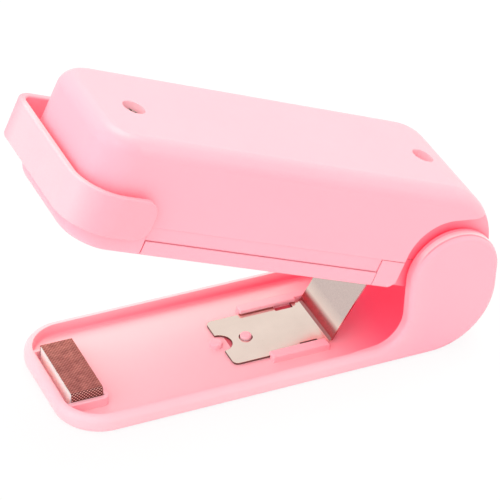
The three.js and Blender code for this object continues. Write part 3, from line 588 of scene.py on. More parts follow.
@dataclass(frozen=True)
class MouldedPlastic(Finish):
    """Satin plastic from a mould, faintly cloudy, with a fine skin."""

    cloud: Colour
    cloud_scale: float = 0.045
    index: float = 1.46
    spots: float = 0.2
    roughness: float = 0.36
    rough_spread: float = 0.1
    grain: float = 0.012
    grain_scale: float = 3.5
    edge: float = 0.22
    glow: float = 0.1
    glow_depth: float = 1.2
    glow_reach: Triple = (1.0, 0.35, 0.4)
    # Painted light: an emission colour and strength that make the plastic glow, none unless a finish sets
    # them
    painted_glow_colour: Triple = (0, 0, 0)
    strength: float = 0

    def tone(self, graph: Graph, here: Value) -> Value:
        """Returns the plastic's colour at a place."""
        return graph.blend(graph.noise(here, self.cloud_scale, 3), self.colour, self.cloud)

    def painted_glow(self, graph: Graph, here: Value) -> object:
        """Returns the colour of the painted glow, an emission that stands in for light let in by a thin
        wall.
        """
        return (*self.painted_glow_colour, 1)

    def sockets(self, graph: Graph, here: Value) -> dict[str, object]:
        """Returns the surface's inputs at a place."""
        spots = graph.noise(here, self.spots, 4)
        return dict(
            Base_Color=self.tone(graph, here), IOR=self.index,
            Roughness=self.roughness - self.rough_spread / 2 + self.rough_spread * spots,
            Subsurface_Weight=self.glow, Subsurface_Radius=self.glow_reach,
            Subsurface_Scale=self.glow_depth * MILLIMETRE,
            Normal=graph.bump(graph.noise(here, self.grain_scale, 4), self.grain, self.edge),
            # Painted light: the glow, where a finish gives it a strength
            Emission_Color=self.painted_glow(graph, here), Emission_Strength=self.strength)


@dataclass(frozen=True)
class TrayPlastic(MouldedPlastic):
    """The lower arm's plastic, with painted light on the floor's middle and the ears' rims, painted shade
    on its inner walls, the far wall's foot, the ears, the floor under the leaf, a line round each ear's
    edge and the room under the hinge, and a painted red glow in that room.
    """

    # Painted light: a faint red glow in the room under the hinge
    painted_glow_colour: Triple = (1.0, 0.2, 0.42)
    strength: float = 0.11
    # Painted shade on the inner walls, at the far wall's foot and in the room under the hinge
    deep_shade: Colour = (255, 114, 138)
    # Painted light on the middle of the floor
    pale: Colour = (255, 200, 208)
    # Painted shade towards the ears
    ears: Colour = (255, 176, 193)
    # Painted shade: a dark line round each ear's rounded edge
    line: Colour = (214, 112, 134)
    shade_line_share: float = 0.6
    # Painted highlight on the ears' rims
    rim: Colour = (255, 214, 222)
    # Painted shadow on the floor under the leaf
    shade: Colour = (205, 60, 84)
    shade_share: float = 0.85
    walls_from: float = -38
    walls_full: float = 69
    wall_side: float = 12
    wall_rise: float = 0.4
    rim_depth: float = 2.2
    rim_share: float = 0.8
    foot_from: float = 13.5
    foot_height: float = 0.9
    floor_from: float = 66
    floor_skin: float = 0.05
    pale_fade: float = 5
    pale_height: float = 0.3
    ears_from: float = 62
    ears_full: float = 92
    leaf_from: float = 48.2
    leaf_to: float = 71
    leaf_half: float = 8.6
    full: float = 86.35
    line_radius: float = 11.45
    line_half: float = 0.1
    line_side: float = 18.5
    line_from: float = 5.5
    line_full: float = 8.5
    highlight_side: float = 17.5
    tip_half: float = 8.8
    room_radius: float = 9.35
    inside: float = 18.2
    ears_inside: float = 16.7
    taper_from: float = 71.35
    heel_centre: float = 93.35
    heel_wall: float = 0.7

    def tone(self, graph: Graph, here: Value) -> Value:
        """Returns the plain colour, with painted shade on the walls, the far wall's foot, the ears, under
        the leaf, in the room and in a line round each ear's edge, and painted light on the floor's middle
        and the ears' rims.
        """
        reach, across, height = self._where(graph, here)
        sideways, above = abs(across), height - SHARED.floor
        inner = self._inner(graph, reach, sideways, height)
        # Painted shade: how far into the room under the hinge
        room = graph.share(reach, self.floor_from, self.full)
        # Painted shade on the inner walls above the floor, lighter near the rim, and at the foot of the far
        # wall
        shaded_wall = graph.share(above, self.floor_skin, self.floor_skin + self.wall_rise)
        shaded_wall = shaded_wall * (sideways > self.wall_side)
        near_rim = graph.share(height, SHARED.rim - self.rim_depth, SHARED.rim)
        shaded_foot = graph.share(across, self.foot_from, self.inside)
        wall = (shaded_wall * (1 - self.rim_share * near_rim)).at_least(
            shaded_foot * shaded_foot * (above < self.foot_height))
        wall = wall * graph.share(reach, self.walls_from, self.walls_full)
        # Painted shade: darker towards the ears
        colour = graph.blend(graph.share(reach, self.ears_from, self.ears_full),
                             super().tone(graph, here), self.ears)
        # Painted light on the middle of the floor, away from the walls
        lit_floor = graph.share(sideways, self.inside, self.inside - self.pale_fade)
        lit_floor = lit_floor * (above < self.pale_height)
        colour = graph.blend(inner * (1 - room) * lit_floor, colour, self.pale)
        # Painted shade on the walls and in the room under the hinge
        colour = graph.blend(wall.at_least(room) * inner, colour, self.deep_shade)
        # Painted shadow on the floor under the leaf, seen through its openings
        shadow_under_leaf = (reach > self.leaf_from) * (reach < self.leaf_to) * (sideways < self.leaf_half)
        colour = graph.blend(shadow_under_leaf * (above < self.floor_skin) * self.shade_share, colour,
                             self.shade)
        ahead, up = reach - SHARED.hinge_reach, height - SHARED.hinge_height
        off = (ahead * ahead + up * up).root() - self.line_radius
        fade = graph.share(up, self.line_from, self.line_full)
        # Painted highlight on the ears' rims
        colour = graph.blend(graph.share(off, -self.line_half, 2 * self.line_half) * fade
                             * (sideways > self.highlight_side), colour, self.rim)
        # Painted shade: a dark line round each ear's rounded edge
        return graph.blend((abs(off) < self.line_half) * (sideways > self.line_side) * fade
                           * self.shade_line_share, colour, self.line)

    def painted_glow(self, graph: Graph, here: Value) -> object:
        """Returns the painted red glow in the room under the hinge, an emission that stands in for light
        let in by the heel's thin wall.
        """
        reach, across, height = self._where(graph, here)
        mask = (graph.share(reach, self.floor_from, self.full)
                * self._inner(graph, reach, abs(across), height))
        return graph.blend(mask, (0, 0, 0, 1), (*self.painted_glow_colour, 1))

    def _where(self, graph: Graph, here: Value) -> tuple[Value, Value, Value]:
        """Returns a place's reach along the arm, its place across, and its height."""
        along, across, height = graph.split(here)
        return along - SEAT, across, height

    def _inner(self, graph: Graph, reach: Value, sideways: Value, height: Value) -> Value:
        """Returns 1 between the walls, above the floor's underside and inside the heel."""
        narrowing = graph.share(reach, self.taper_from, self.full)
        between = sideways < self.inside - narrowing * (self.inside - self.ears_inside)
        past = (reach - self.heel_centre).at_least(0)
        below = (SHARED.heel_radius - height).at_least(0)
        within = past * past + below * below < (SHARED.heel_radius - self.heel_wall) ** 2
        before = (SHARED.tip_radius - reach).at_least(0)
        beside = (sideways - self.tip_half).at_least(0)
        behind_tip = before * before + beside * beside < self.room_radius ** 2
        return between * within * behind_tip * (height > self.heel_wall)


@dataclass(frozen=True)
class PocketPlastic(MouldedPlastic):
    """The case's plastic in the rooms that the ears turn in, with painted shade that deepens inwards and
    beside the ear.
    """

    # Painted shade in the ears' rooms
    deep_shade: Colour = (255, 98, 124)
    rim: float = 18.6
    core: float = 17.5
    ear: float = 11.9
    clear: float = 15.4
    open_end: float = 108.5
    fade: float = 12
    off_ear: float = 0.3
    at_end: float = 0.15

    def tone(self, graph: Graph, here: Value) -> Value:
        """Returns the plain colour at the flank, and painted shade that deepens inwards and beside the ear.
        """
        along, across, height = graph.split(here)
        inwards = graph.share(abs(across), self.rim, self.core)
        past, up = along - SEAT - SHARED.hinge_reach, height - SHARED.hinge_height
        beside = graph.share((past * past + up * up).root(), self.clear, self.ear)
        ahead = graph.share(along - SEAT, self.open_end, self.open_end - self.fade)
        mask = (inwards * (self.off_ear + (1 - self.off_ear) * beside)
                * (self.at_end + (1 - self.at_end) * ahead))
        return graph.blend(mask, super().tone(graph, here), self.deep_shade)


@dataclass(frozen=True)
class StrapPlastic(MouldedPlastic):
    """The yoke's plastic, with painted shade that makes the two side arms darker than the crossbar."""

    # Painted shade on the side arms
    side: Colour = (255, 168, 184)
    turn_from: float = 15.5
    turn_full: float = 20.5

    def tone(self, graph: Graph, here: Value) -> Value:
        """Returns the plain colour on the crossbar, and painted shade that makes the arms darker."""
        turned = graph.share(abs(graph.split(here)[1]), self.turn_from, self.turn_full)
        return graph.blend(turned, super().tone(graph, here), self.side)


@dataclass(frozen=True)
class WovenTape(Finish):
    """Coated glass tape, woven over and under, with painted shade where it is turned down and the weave as
    light dots there.
    """

    light: Colour
    # Painted shade: the dark ground of the turned-down ends
    turned: Colour = (98, 34, 36)
    knot: Colour = (246, 190, 176)
    pitch: float = 0.86
    offset: float = 0.02
    depth: float = 0.06
    fold: float = 9.75
    wear_scale: float = 0.6
    threads: float = 0.7
    wear: float = 1.1
    least: float = 0.62
    contrast: float = 2.2
    roughness: float = 0.5
    spread: float = 0.2
    index: float = 1.4

    def sockets(self, graph: Graph, here: Value) -> dict[str, object]:
        """Returns the surface's inputs at a place."""
        along, across, height = graph.split(here)
        turn = 2 * math.pi / self.pitch
        first = ((along + self.offset) * turn).sine()
        second = ((across + height) * turn).sine()
        weave = first * second / 2 + 0.5
        worn = graph.noise(here, self.wear_scale, 4)
        flat = graph.blend(graph.clamp(weave * self.threads + worn * self.wear - self.least),
                           self.colour, self.light)
        # Painted shade on the turned-down ends, with the weave as light dots
        end = graph.blend(graph.clamp((weave - 0.5) * self.contrast), self.turned, self.knot)
        return dict(Base_Color=graph.blend(abs(across) > self.fold, flat, end), IOR=self.index,
                    Roughness=self.roughness + self.spread * worn,
                    Normal=graph.bump(weave, self.depth))


@dataclass(frozen=True)
class SpringSteel(Finish):
    """Rolled spring steel with fine draw lines along one direction, and painted reflections: darker on the
    rise and dark red in the fold.
    """

    # Painted reflection: the rise's darker colour
    rise_reflection: Colour
    # Painted reflection: the dark red of the shaded wall in the fold
    fold_reflection: Colour
    roughness: float = 0.1
    spread: float = 0.06
    darker: int = 16
    smudges: float = 0.12
    flecks: float = 2.4
    rise_reflection_share: Point = (0.6, 0.5)
    fold_reflection_share: Point = (0.72, 0.2)
    relief: Point = (0.002, 0.08)
    rise_from: float = 73.2
    rise_full: float = 74.7
    fold_reflection_low: float = 2.06
    fold_reflection_full: float = 4.2
    fold_reflection_high: float = 5.4
    lines: Triple = (0.15, 6.0, 0.15)

    def sockets(self, graph: Graph, here: Value) -> dict[str, object]:
        """Returns the surface's inputs at a place."""
        streak = graph.noise(graph.stretch(here, self.lines), 1.0, 3)
        smudge = graph.noise(here, self.smudges, 3)
        flecks = graph.noise(here, self.flecks, 4)
        along, _, height = graph.split(here)
        # Painted reflection: darker on the rise
        risen = graph.share(along - SEAT, self.rise_from, self.rise_full)
        # Painted reflection: dark red in the fold
        fold_reflection_share = (graph.share(height, self.fold_reflection_high, self.fold_reflection_full)
                   * (height > self.fold_reflection_low))
        colour = self.worn(graph, smudge, self.darker)
        for mask, (least, more), tint in ((risen, self.rise_reflection_share, self.rise_reflection),
                                          (fold_reflection_share, self.fold_reflection_share, self.fold_reflection)):
            colour = graph.blend(mask * (least + more * flecks), colour, tint)
        return dict(Base_Color=colour, Metallic=1.0, Roughness=self.roughness + self.spread * smudge,
                    Normal=graph.bump(streak, *self.relief))


@dataclass(frozen=True)
class Rubber(Finish):
    """Matte silicone with a dusty skin."""

    roughness: float = 0.62
    spread: float = 0.15
    darker: int = 14
    dust: float = 1.2
    skin: float = 6
    relief: Point = (0.02, 0.2)
    glow: float = 0.9
    glow_reach: Triple = (1.0, 0.9, 0.8)
    glow_depth: float = 2

    def sockets(self, graph: Graph, here: Value) -> dict[str, object]:
        """Returns the surface's inputs at a place."""
        dust = graph.noise(here, self.dust, 5)
        return dict(Base_Color=self.worn(graph, dust, self.darker),
                    Roughness=self.roughness + self.spread * dust,
                    Subsurface_Weight=self.glow, Subsurface_Radius=self.glow_reach,
                    Subsurface_Scale=self.glow_depth * MILLIMETRE,
                    Normal=graph.bump(graph.noise(here, self.skin, 3), *self.relief))


@dataclass(frozen=True)
class PlatedMetal(Finish):
    """Plated or bare metal with small scratches."""

    roughness: float = 0.25
    spread: float = 0.15
    darker: int = 30
    metallic: float = 0.95
    scratches: float = 1.5
    relief: Point = (0.01, 0.1)
    lines: Triple = (0.4, 5, 5)

    def sockets(self, graph: Graph, here: Value) -> dict[str, object]:
        """Returns the surface's inputs at a place."""
        scratch = graph.noise(graph.stretch(here, self.lines), self.scratches, 4)
        return dict(Base_Color=self.worn(graph, scratch, self.darker), Metallic=self.metallic,
                    Roughness=self.roughness + self.spread * scratch,
                    Normal=graph.bump(scratch, *self.relief))


@dataclass(frozen=True)
class CellSleeve(Finish):
    """A cell's printed sleeve with a band, and bare metal at both ends."""

    band: Colour
    centre: Vector
    way: Vector
    metal: Colour = (205, 203, 198)
    half: float = 25.25
    ends: float = 0.8
    band_from: float = 0.45
    roughness: float = 0.28
    spread: float = 0.1
    metallic: Point = (0.1, 0.85)
    dust: float = 0.7
    relief: float = 0.01

    def sockets(self, graph: Graph, here: Value) -> dict[str, object]:
        """Returns the surface's inputs at a place."""
        from_centre = graph.node("ShaderNodeVectorMath", {"operation": "SUBTRACT"},
                                 {0: here, 1: self.centre})
        along = graph.node("ShaderNodeVectorMath", {"operation": "DOT_PRODUCT"},
                           {0: from_centre, 1: self.way}, "Value")
        bare = abs(along) > self.half - self.ends
        dust = graph.noise(here, self.dust, 3)
        printed = graph.blend(along > self.half * self.band_from, self.colour, self.band)
        return dict(Base_Color=graph.blend(bare, printed, self.metal),
                    Metallic=self.metallic[0] + self.metallic[1] * bare,
                    Roughness=self.roughness + self.spread * dust,
                    Normal=graph.bump(dust, self.relief))


@dataclass(frozen=True)
class Insulation(Finish):
    """Extruded wire jacket or fired insulator, faintly mottled."""

    roughness: float = 0.4
    spread: float = 0.1
    darker: int = 18
    mottle: float = 1.5
    relief: Point = (0.02, 0.05)

    def sockets(self, graph: Graph, here: Value) -> dict[str, object]:
        """Returns the surface's inputs at a place."""
        mottle = graph.noise(here, self.mottle, 3)
        return dict(Base_Color=self.worn(graph, mottle, self.darker),
                    Roughness=self.roughness + self.spread * mottle,
                    Normal=graph.bump(mottle, *self.relief))


class Finishes:
    """Every finish on the sealer, each made once."""

    case = MouldedPlastic("pink_case", (255, 173, 190), (255, 177, 194))
    # Painted light: the screw wells' walls are a paler copy of the case's pink with a faint painted glow
    well = MouldedPlastic("pink_well", (255, 208, 217), (255, 204, 214), roughness=0.2,
                          painted_glow_colour=(1.0, 0.15, 0.25), strength=0.1)
    pocket = PocketPlastic("pink_pocket", case.colour, case.cloud)
    # Painted light: the lower arm's pink is a paler copy of the case's pink, and its finish paints light
    # and shade
    tray = TrayPlastic("pink_tray", (255, 195, 205), (255, 199, 209), roughness=0.34)
    yoke = StrapPlastic("pink_yoke", (255, 194, 204), (255, 186, 198), roughness=0.5, grain=0.03,
                        grain_scale=1.6)
    # Painted reflections: the second colour on the rise, the third in the fold
    steel = SpringSteel("leaf_steel", (240, 220, 208), (200, 180, 175), (150, 52, 62))
    # The leaf's cut edges: partly the steel's darker cut edge, partly painted shade under the sheet
    cut_edge_shade = PlatedMetal("sheared_edge", (140, 112, 106), 0.4)
    rubber = Rubber("pad_rubber", (255, 252, 244))
    tape = WovenTape("woven_tape", (128, 64, 58), (214, 142, 130))
    nickel = PlatedMetal("nickel", (205, 203, 197))
    brass = PlatedMetal("brass", (201, 162, 78), 0.3)
    ceramic = Insulation("insulator", (233, 228, 218), 0.75)
    black = Insulation("switch_black", (28, 28, 30), 0.4)
    red_wire = Insulation("red_jacket", (179, 38, 43), 0.35)
    black_wire = Insulation("black_jacket", (34, 34, 36), 0.35)

    def __init__(self) -> None:
        """Starts with nothing made."""
        self.made: dict[str, bpy.types.Material] = {}

    def of(self, finish: Finish) -> bpy.types.Material:
        """Returns a finish's material, made on first use."""
        if finish.name not in self.made:
            self.made[finish.name] = finish.make()
        return self.made[finish.name]


def dress(obj: Solid, material: bpy.types.Material) -> None:
    """Gives an object one material."""
    obj.data.materials.clear()
    obj.data.materials.append(material)


@dataclass
class Bench:
    """Where pieces are finished, put in their place and handed over."""

    finishes: Finishes = field(default_factory=Finishes)
    open_degrees: float = 22.2
    smooth: float = 32

    def row(self) -> Matrix:
        """Returns the change from the lower arm's millimetres to the frame's metres."""
        return Matrix.Scale(MILLIMETRE, 4) @ Matrix.Translation((SEAT, 0, 0))

    def arm(self) -> Matrix:
        """Returns the change from the upper arm's millimetres to the frame's metres."""
        hinge = Matrix.Translation((SHARED.hinge_reach, 0, SHARED.hinge_height))
        return self.row() @ hinge @ Matrix.Rotation(math.radians(self.open_degrees), 4, "Y")

    def hand_over(self, obj: Solid, place: Matrix, finish: Finish, body: Body | None,
                  stands_for: Iterable[str]) -> None:
        """Shades a finished piece, puts it in place and tells the frame about it.

        Args:
            obj: The piece, in millimetres.
            place: The change to the frame's metres.
            finish: Its finish.
            body: The body that it rides on, or None for a piece on no body.
            stands_for: The frame's nodes that it replaces.
        """
        focus(obj)
        bpy.ops.object.shade_smooth_by_angle(angle=math.radians(self.smooth))
        modify(obj, "WEIGHTED_NORMAL", keep_sharp=True, weight=100)
        obj.matrix_world = place
        settle()
        dress(obj, self.finishes.of(finish))
        if body:
            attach(obj, body.value)
        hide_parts(*stands_for)
        LOG.info("%s: %d faces on %s", obj.name, len(obj.data.polygons),
                 body.value if body else "two bodies")


@dataclass
class LowerArm:
    """Tray, heel, hinge ears, pad fence, leaf rails, peg and lug in one moulding."""

    width: float = 40
    wall: float = 2
    ear_wall: float = 3.5
    edge_round: float = 1.7
    ear_fillet: float = 7.5
    heel_wall_drop: float = 7.6
    floor_fillet: float = 0.8
    bore_radius: float = 2.58
    bore_depth: float = 1.4
    fence_start: float = 1
    fence_end: float = 13.1
    fence_half: float = 11.55
    fence_wall: float = 1.1
    fence_height: float = 3.8
    fence_corner: float = 1.6
    fence_slot: float = 2.6
    fence_round: float = 0.3
    rail_start: float = 55.2
    rail_end: float = 70.1
    far_rail_end: float = 74.5
    rail_inner: float = 9.1
    rail_wall: float = 2.1
    rail_lip: float = 8.3
    rail_height: float = 3.1
    rail_under: float = 2.3
    peg_radius: float = 1.4
    peg_height: float = 2.8
    lug_reach: float = 45.1
    lug_radius: float = 1.6
    small_round: float = 0.35

    @property
    def half(self) -> float:
        """Half of the arm's width."""
        return self.width / 2

    @property
    def ear_inside(self) -> float:
        """Reach sideways of the ears' inner faces."""
        return self.half - self.ear_wall

    @property
    def front(self) -> float:
        """Reach of the ears' front faces."""
        return SHARED.hinge_reach - SHARED.ear_radius

    @property
    def heel_centre(self) -> float:
        """Reach of the heel round's centre."""
        return SHARED.hinge_reach + SHARED.ear_radius - SHARED.heel_radius

    def _outside(self) -> Solid:
        """Returns the closed outer form."""
        shoulder = SHARED.rim + self.ear_fillet
        pen = Pen("tray_moulding", Plane.SIDE, (0, 0), -self.half)
        pen.line((self.heel_centre, 0)).arc((self.heel_centre, SHARED.heel_radius), 90, 20)
        pen.line((SHARED.hinge_reach + SHARED.ear_radius, SHARED.hinge_height))
        pen.arc((SHARED.hinge_reach, SHARED.hinge_height), 180, 36)
        pen.line((self.front, shoulder)).arc((self.front - self.ear_fillet, shoulder), -90, 14)
        pen.line((0, SHARED.rim))
        body = pen.body(self.width)
        bevel(body, SHARED.tip_radius, 18, lambda e: runs_along(e, 2) and sits_at(middle(e).x, 0))
        bevel(body, self.edge_round, 6, self._on_rim)
        return body

    def _on_rim(self, edge: Edge) -> bool:
        """Tells whether an edge lies on a flank's rim or round the tip."""
        return folds(edge) and (not runs_along(edge, 1) or middle(edge).x < SHARED.tip_radius)

    def _tray_room(self) -> Solid:
        """Returns the body of the room inside the tray, narrowing towards the ears."""
        inside = self.half - self.wall
        start = self.front - 2 * self.ear_fillet
        pen = Pen("tray_room", Plane.PLAN, (self.wall, -inside), SHARED.floor)
        pen.line((start, -inside), (self.front, -self.ear_inside), (self.front, self.ear_inside),
                 (start, inside), (self.wall, inside))
        body = pen.body(SHARED.high)
        bevel(body, SHARED.tip_radius - self.wall, 18,
              lambda e: runs_along(e, 2) and sits_at(middle(e).x, self.wall))
        bevel(body, self.floor_fillet, 4,
              lambda e: folds(e) and sits_at(middle(e).z, SHARED.floor) and middle(e).x < self.front)
        return body

    def _heel_room(self) -> Solid:
        """Returns the body of the room between the ears and inside the heel."""
        start = self.front - self.ear_fillet - 2 * self.wall
        pen = Pen("heel_room", Plane.SIDE, (start, SHARED.floor), -self.ear_inside)
        pen.line((self.heel_centre, SHARED.floor)).arc((self.heel_centre, SHARED.heel_radius), 90, 20)
        pen.line((self.heel_centre + SHARED.heel_radius - SHARED.floor, SHARED.high), (start, SHARED.high))
        body = pen.body(2 * self.ear_inside)
        bevel(body, self.floor_fillet, 4,
              lambda e: folds(e) and not runs_along(e, 1) and middle(e).x > start
              and middle(e).z < SHARED.heel_radius)
        return body

    def _fence(self) -> tuple[Solid, Solid]:
        """Returns the pad's fence and the well cut in it."""
        half = self.fence_half
        fence = box("fence", (self.fence_start, -half, SHARED.floor / 2),
                    (self.fence_end, half, self.fence_height))
        bevel(fence, self.fence_corner, 8,
              lambda e: runs_along(e, 2) and middle(e).x > self.fence_start + self.wall)
        bevel(fence, self.fence_round, 3,
              lambda e: sits_at(middle(e).z, self.fence_height) and folds(e))
        inner = half - self.fence_wall
        well = box("well", (self.fence_slot, -inner, SHARED.floor),
                   (self.fence_end - self.fence_wall, inner, SHARED.high))
        return fence, well

    def _rail(self, side: int) -> Solid:
        """Returns one rail with its lip over the leaf's edge."""
        outer, foot = self.rail_inner + self.rail_wall, SHARED.floor / 2
        pen = Pen("rail", Plane.END, (side * outer, foot), self.rail_start)
        pen.line(*[(side * y, z) for y, z in (
            (outer, self.rail_height), (self.rail_lip, self.rail_height),
            (self.rail_lip, self.rail_under), (self.rail_inner, self.rail_under),
            (self.rail_inner, foot))])
        rail = pen.body((self.far_rail_end if side > 0 else self.rail_end) - self.rail_start)
        if side > 0:
            cut(rail, box("bend_room", (self.rail_end, side * (self.rail_lip - SHARED.over), 0),
                          (self.far_rail_end + SHARED.over, side * self.rail_inner, SHARED.high)))
        bevel(rail, self.small_round, 3, lambda e: folds(e) and (
            sits_at(middle(e).z, self.rail_height)
            or runs_along(e, 2) and sits_at(middle(e).x, self.rail_start)))
        return rail

    def _peg(self, reach: float, radius: float) -> Solid:
        """Returns the peg in the leaf's hole, or the lug at its notch."""
        peg = rod("peg", radius, (reach, 0, SHARED.floor / 2), (reach, 0, self.peg_height), 40)
        bevel(peg, self.small_round, 4, lambda e: sits_at(middle(e).z, self.peg_height) and folds(e))
        return peg

    def _bore(self, side: int) -> Solid:
        """Returns the blind bore of one ear."""
        ends = [(SHARED.hinge_reach, side * (self.ear_inside + depth), SHARED.hinge_height)
                for depth in (-SHARED.over, self.bore_depth)]
        return rod("bore", self.bore_radius, *ends, 48)

    def build(self, bench: Bench) -> None:
        """Builds the moulding and hands it over."""
        inside = self.ear_inside
        body = cut(self._outside(), self._tray_room(), self._heel_room(),
                   box("over_heel",
                       (SHARED.hinge_reach, -inside, SHARED.hinge_height - self.heel_wall_drop),
                       (2 * SHARED.hinge_reach, inside, SHARED.high)))
        fence, well = self._fence()
        fuse(body, fence)
        cut(body, well)
        fuse(body, self._rail(1), self._rail(-1), self._peg(SHARED.peg_reach, self.peg_radius),
             self._peg(self.lug_reach, self.lug_radius))
        cut(body, self._bore(1), self._bore(-1))
        bench.hand_over(body, bench.row(), Finishes.tray, Body.LOWER, ["lower_arm"])


@dataclass
class Leaf:
    """Sheet-steel leaf: foot with a notch and a hole, bend, rise and curled tip."""

    start: float = 46.1
    bend: float = 71.8
    width: float = 17.6
    thickness: float = 0.5
    seat: float = 1.5
    bend_radius: float = 1.2
    tip_radius: float = 1.3
    tip_turn: float = 50
    corner: float = 1.4
    notch_radius: float = 3.1
    hole_radius: float = 1.7
    slot_reach: float = 64.1
    slot_length: float = 4.6
    slot_depth: float = 2.0
    tip: Point = (81.29, 22.03)

    def _strip(self) -> Solid:
        """Returns the bent strip before its cuts."""
        outer = self.bend_radius + self.thickness
        centre_z = self.seat + outer
        tip_x, tip_z = self.tip
        lean = math.atan2(tip_z - self.seat, tip_x - self.bend) / 2
        bend_x = self.bend - outer * math.tan(lean)
        distance = math.hypot(tip_x - bend_x, tip_z - centre_z)
        rise = (math.atan2(tip_z - centre_z, tip_x - bend_x)
                + math.asin((outer - self.tip_radius - self.thickness) / distance))
        turn = math.degrees(rise)
        across = rise - math.pi / 2
        far = on_circle(self.tip, self.tip_radius + self.thickness, across)
        near = on_circle((bend_x, centre_z), self.bend_radius, across)
        inner_end = on_circle(self.tip, self.tip_radius, across + math.radians(self.tip_turn))
        pen = Pen("leaf_blade", Plane.SIDE, (self.start, self.seat), -self.width / 2)
        pen.line((bend_x, self.seat)).arc((bend_x, centre_z), turn, 14)
        pen.line(far).arc(self.tip, self.tip_turn, 10)
        pen.line(inner_end).arc(self.tip, -self.tip_turn, 10)
        pen.line(near).arc((bend_x, centre_z), -turn, 14)
        pen.line((self.start, self.seat + self.thickness))
        return pen.body(self.width)

    def build(self, bench: Bench) -> None:
        """Builds the leaf, which rides on neither arm."""
        half = self.width / 2
        low, high = self.seat - SHARED.over, self.seat + 2 * SHARED.over
        blade = self._strip()
        bevel(blade, self.corner, 5, lambda e: runs_along(e, 2) and sits_at(middle(e).x, self.start))
        cut(blade, rod("notch", self.notch_radius, (self.start, 0, low), (self.start, 0, high)),
            rod("hole", self.hole_radius, (SHARED.peg_reach, 0, low), (SHARED.peg_reach, 0, high), 48))
        for side in (1, -1):
            cut(blade, box("slot", (self.slot_reach, side * (half - self.slot_depth), low),
                           (self.slot_reach + self.slot_length, side * (half + SHARED.over), high)))
        bench.hand_over(blade, bench.row(), Finishes.steel, None, ["leaf_spring"])
        # The foot's side faces: partly their darker cut edge, partly painted shade under the sheet
        blade.data.materials.append(bench.finishes.of(Finishes.cut_edge_shade))
        for face in blade.data.polygons:
            flat = face.center.x < (SEAT + self.bend - self.bend_radius) * MILLIMETRE
            if flat and abs(face.normal.z) < ASLANT:
                face.material_index = 1
        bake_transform(blade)


@dataclass
class Casing:
    """The upper arm's rounded outer form, shared by its cover, frame and door."""

    width: float = 37
    nose: float = 104.3
    back: float = 8.8
    drop: float = 6.4
    wall: float = 1.8
    draft: float = 0.6
    nose_corner: float = 9
    side_round: float = 4
    back_round: float = 18
    nose_round: float = 3
    hem_round: float = 0.9
    open_drop: float = 2
    steps: int = 10

    def form(self, inset: float = 0) -> Solid:
        """Returns the closed form with its nose to -X, drawn in by an inset but for its underside."""
        half = self.width / 2 - inset
        low = -self.drop - (self.open_drop if inset else 0)
        top = SHARED.crown - inset
        form = box("form", (inset - self.nose, -half, low), (self.back - inset, half, top))
        pick(form, Part.FACE, lambda f: f.normal.z > 0.9)
        bpy.ops.transform.resize(value=(1, (half - self.draft) / half, 1),
                                 center_override=(0, 0, top))
        leave()
        bevel(form, self.back_round - inset, 2 * self.steps,
              lambda e: sits_at(middle(e).x, self.back - inset) and sits_at(middle(e).z, top))
        bevel(form, self.nose_corner - inset, 16,
              lambda e: runs_along(e, 2, 0.99) and sits_at(middle(e).x, inset - self.nose))
        bevel(form, self.side_round - inset, self.steps,
              lambda e: folds(e, 50) and not sits_at(middle(e).z, low))
        if not inset:
            self._round_hem(form, low)
        return form

    def _round_hem(self, form: Solid, low: float) -> None:
        """Rounds the lower rim, more round the nose than along the flanks."""
        mesh = form.data
        weights = mesh.attributes.new("bevel_weight_edge", "FLOAT", "EDGE")
        least = self.hem_round / self.nose_round
        for edge in mesh.edges:
            ends = [mesh.vertices[i].co for i in edge.vertices]
            if all(sits_at(end.z, low) for end in ends):
                reach = -(ends[0].x + ends[1].x) / 2 - self.nose + self.nose_corner
                share = min(1.0, max(0.0, reach / self.nose_corner))
                weights.data[edge.index].value = least + (1 - least) * share
        modify(form, "BEVEL", limit_method="WEIGHT", width=self.nose_round, segments=6,
               use_clamp_overlap=False)


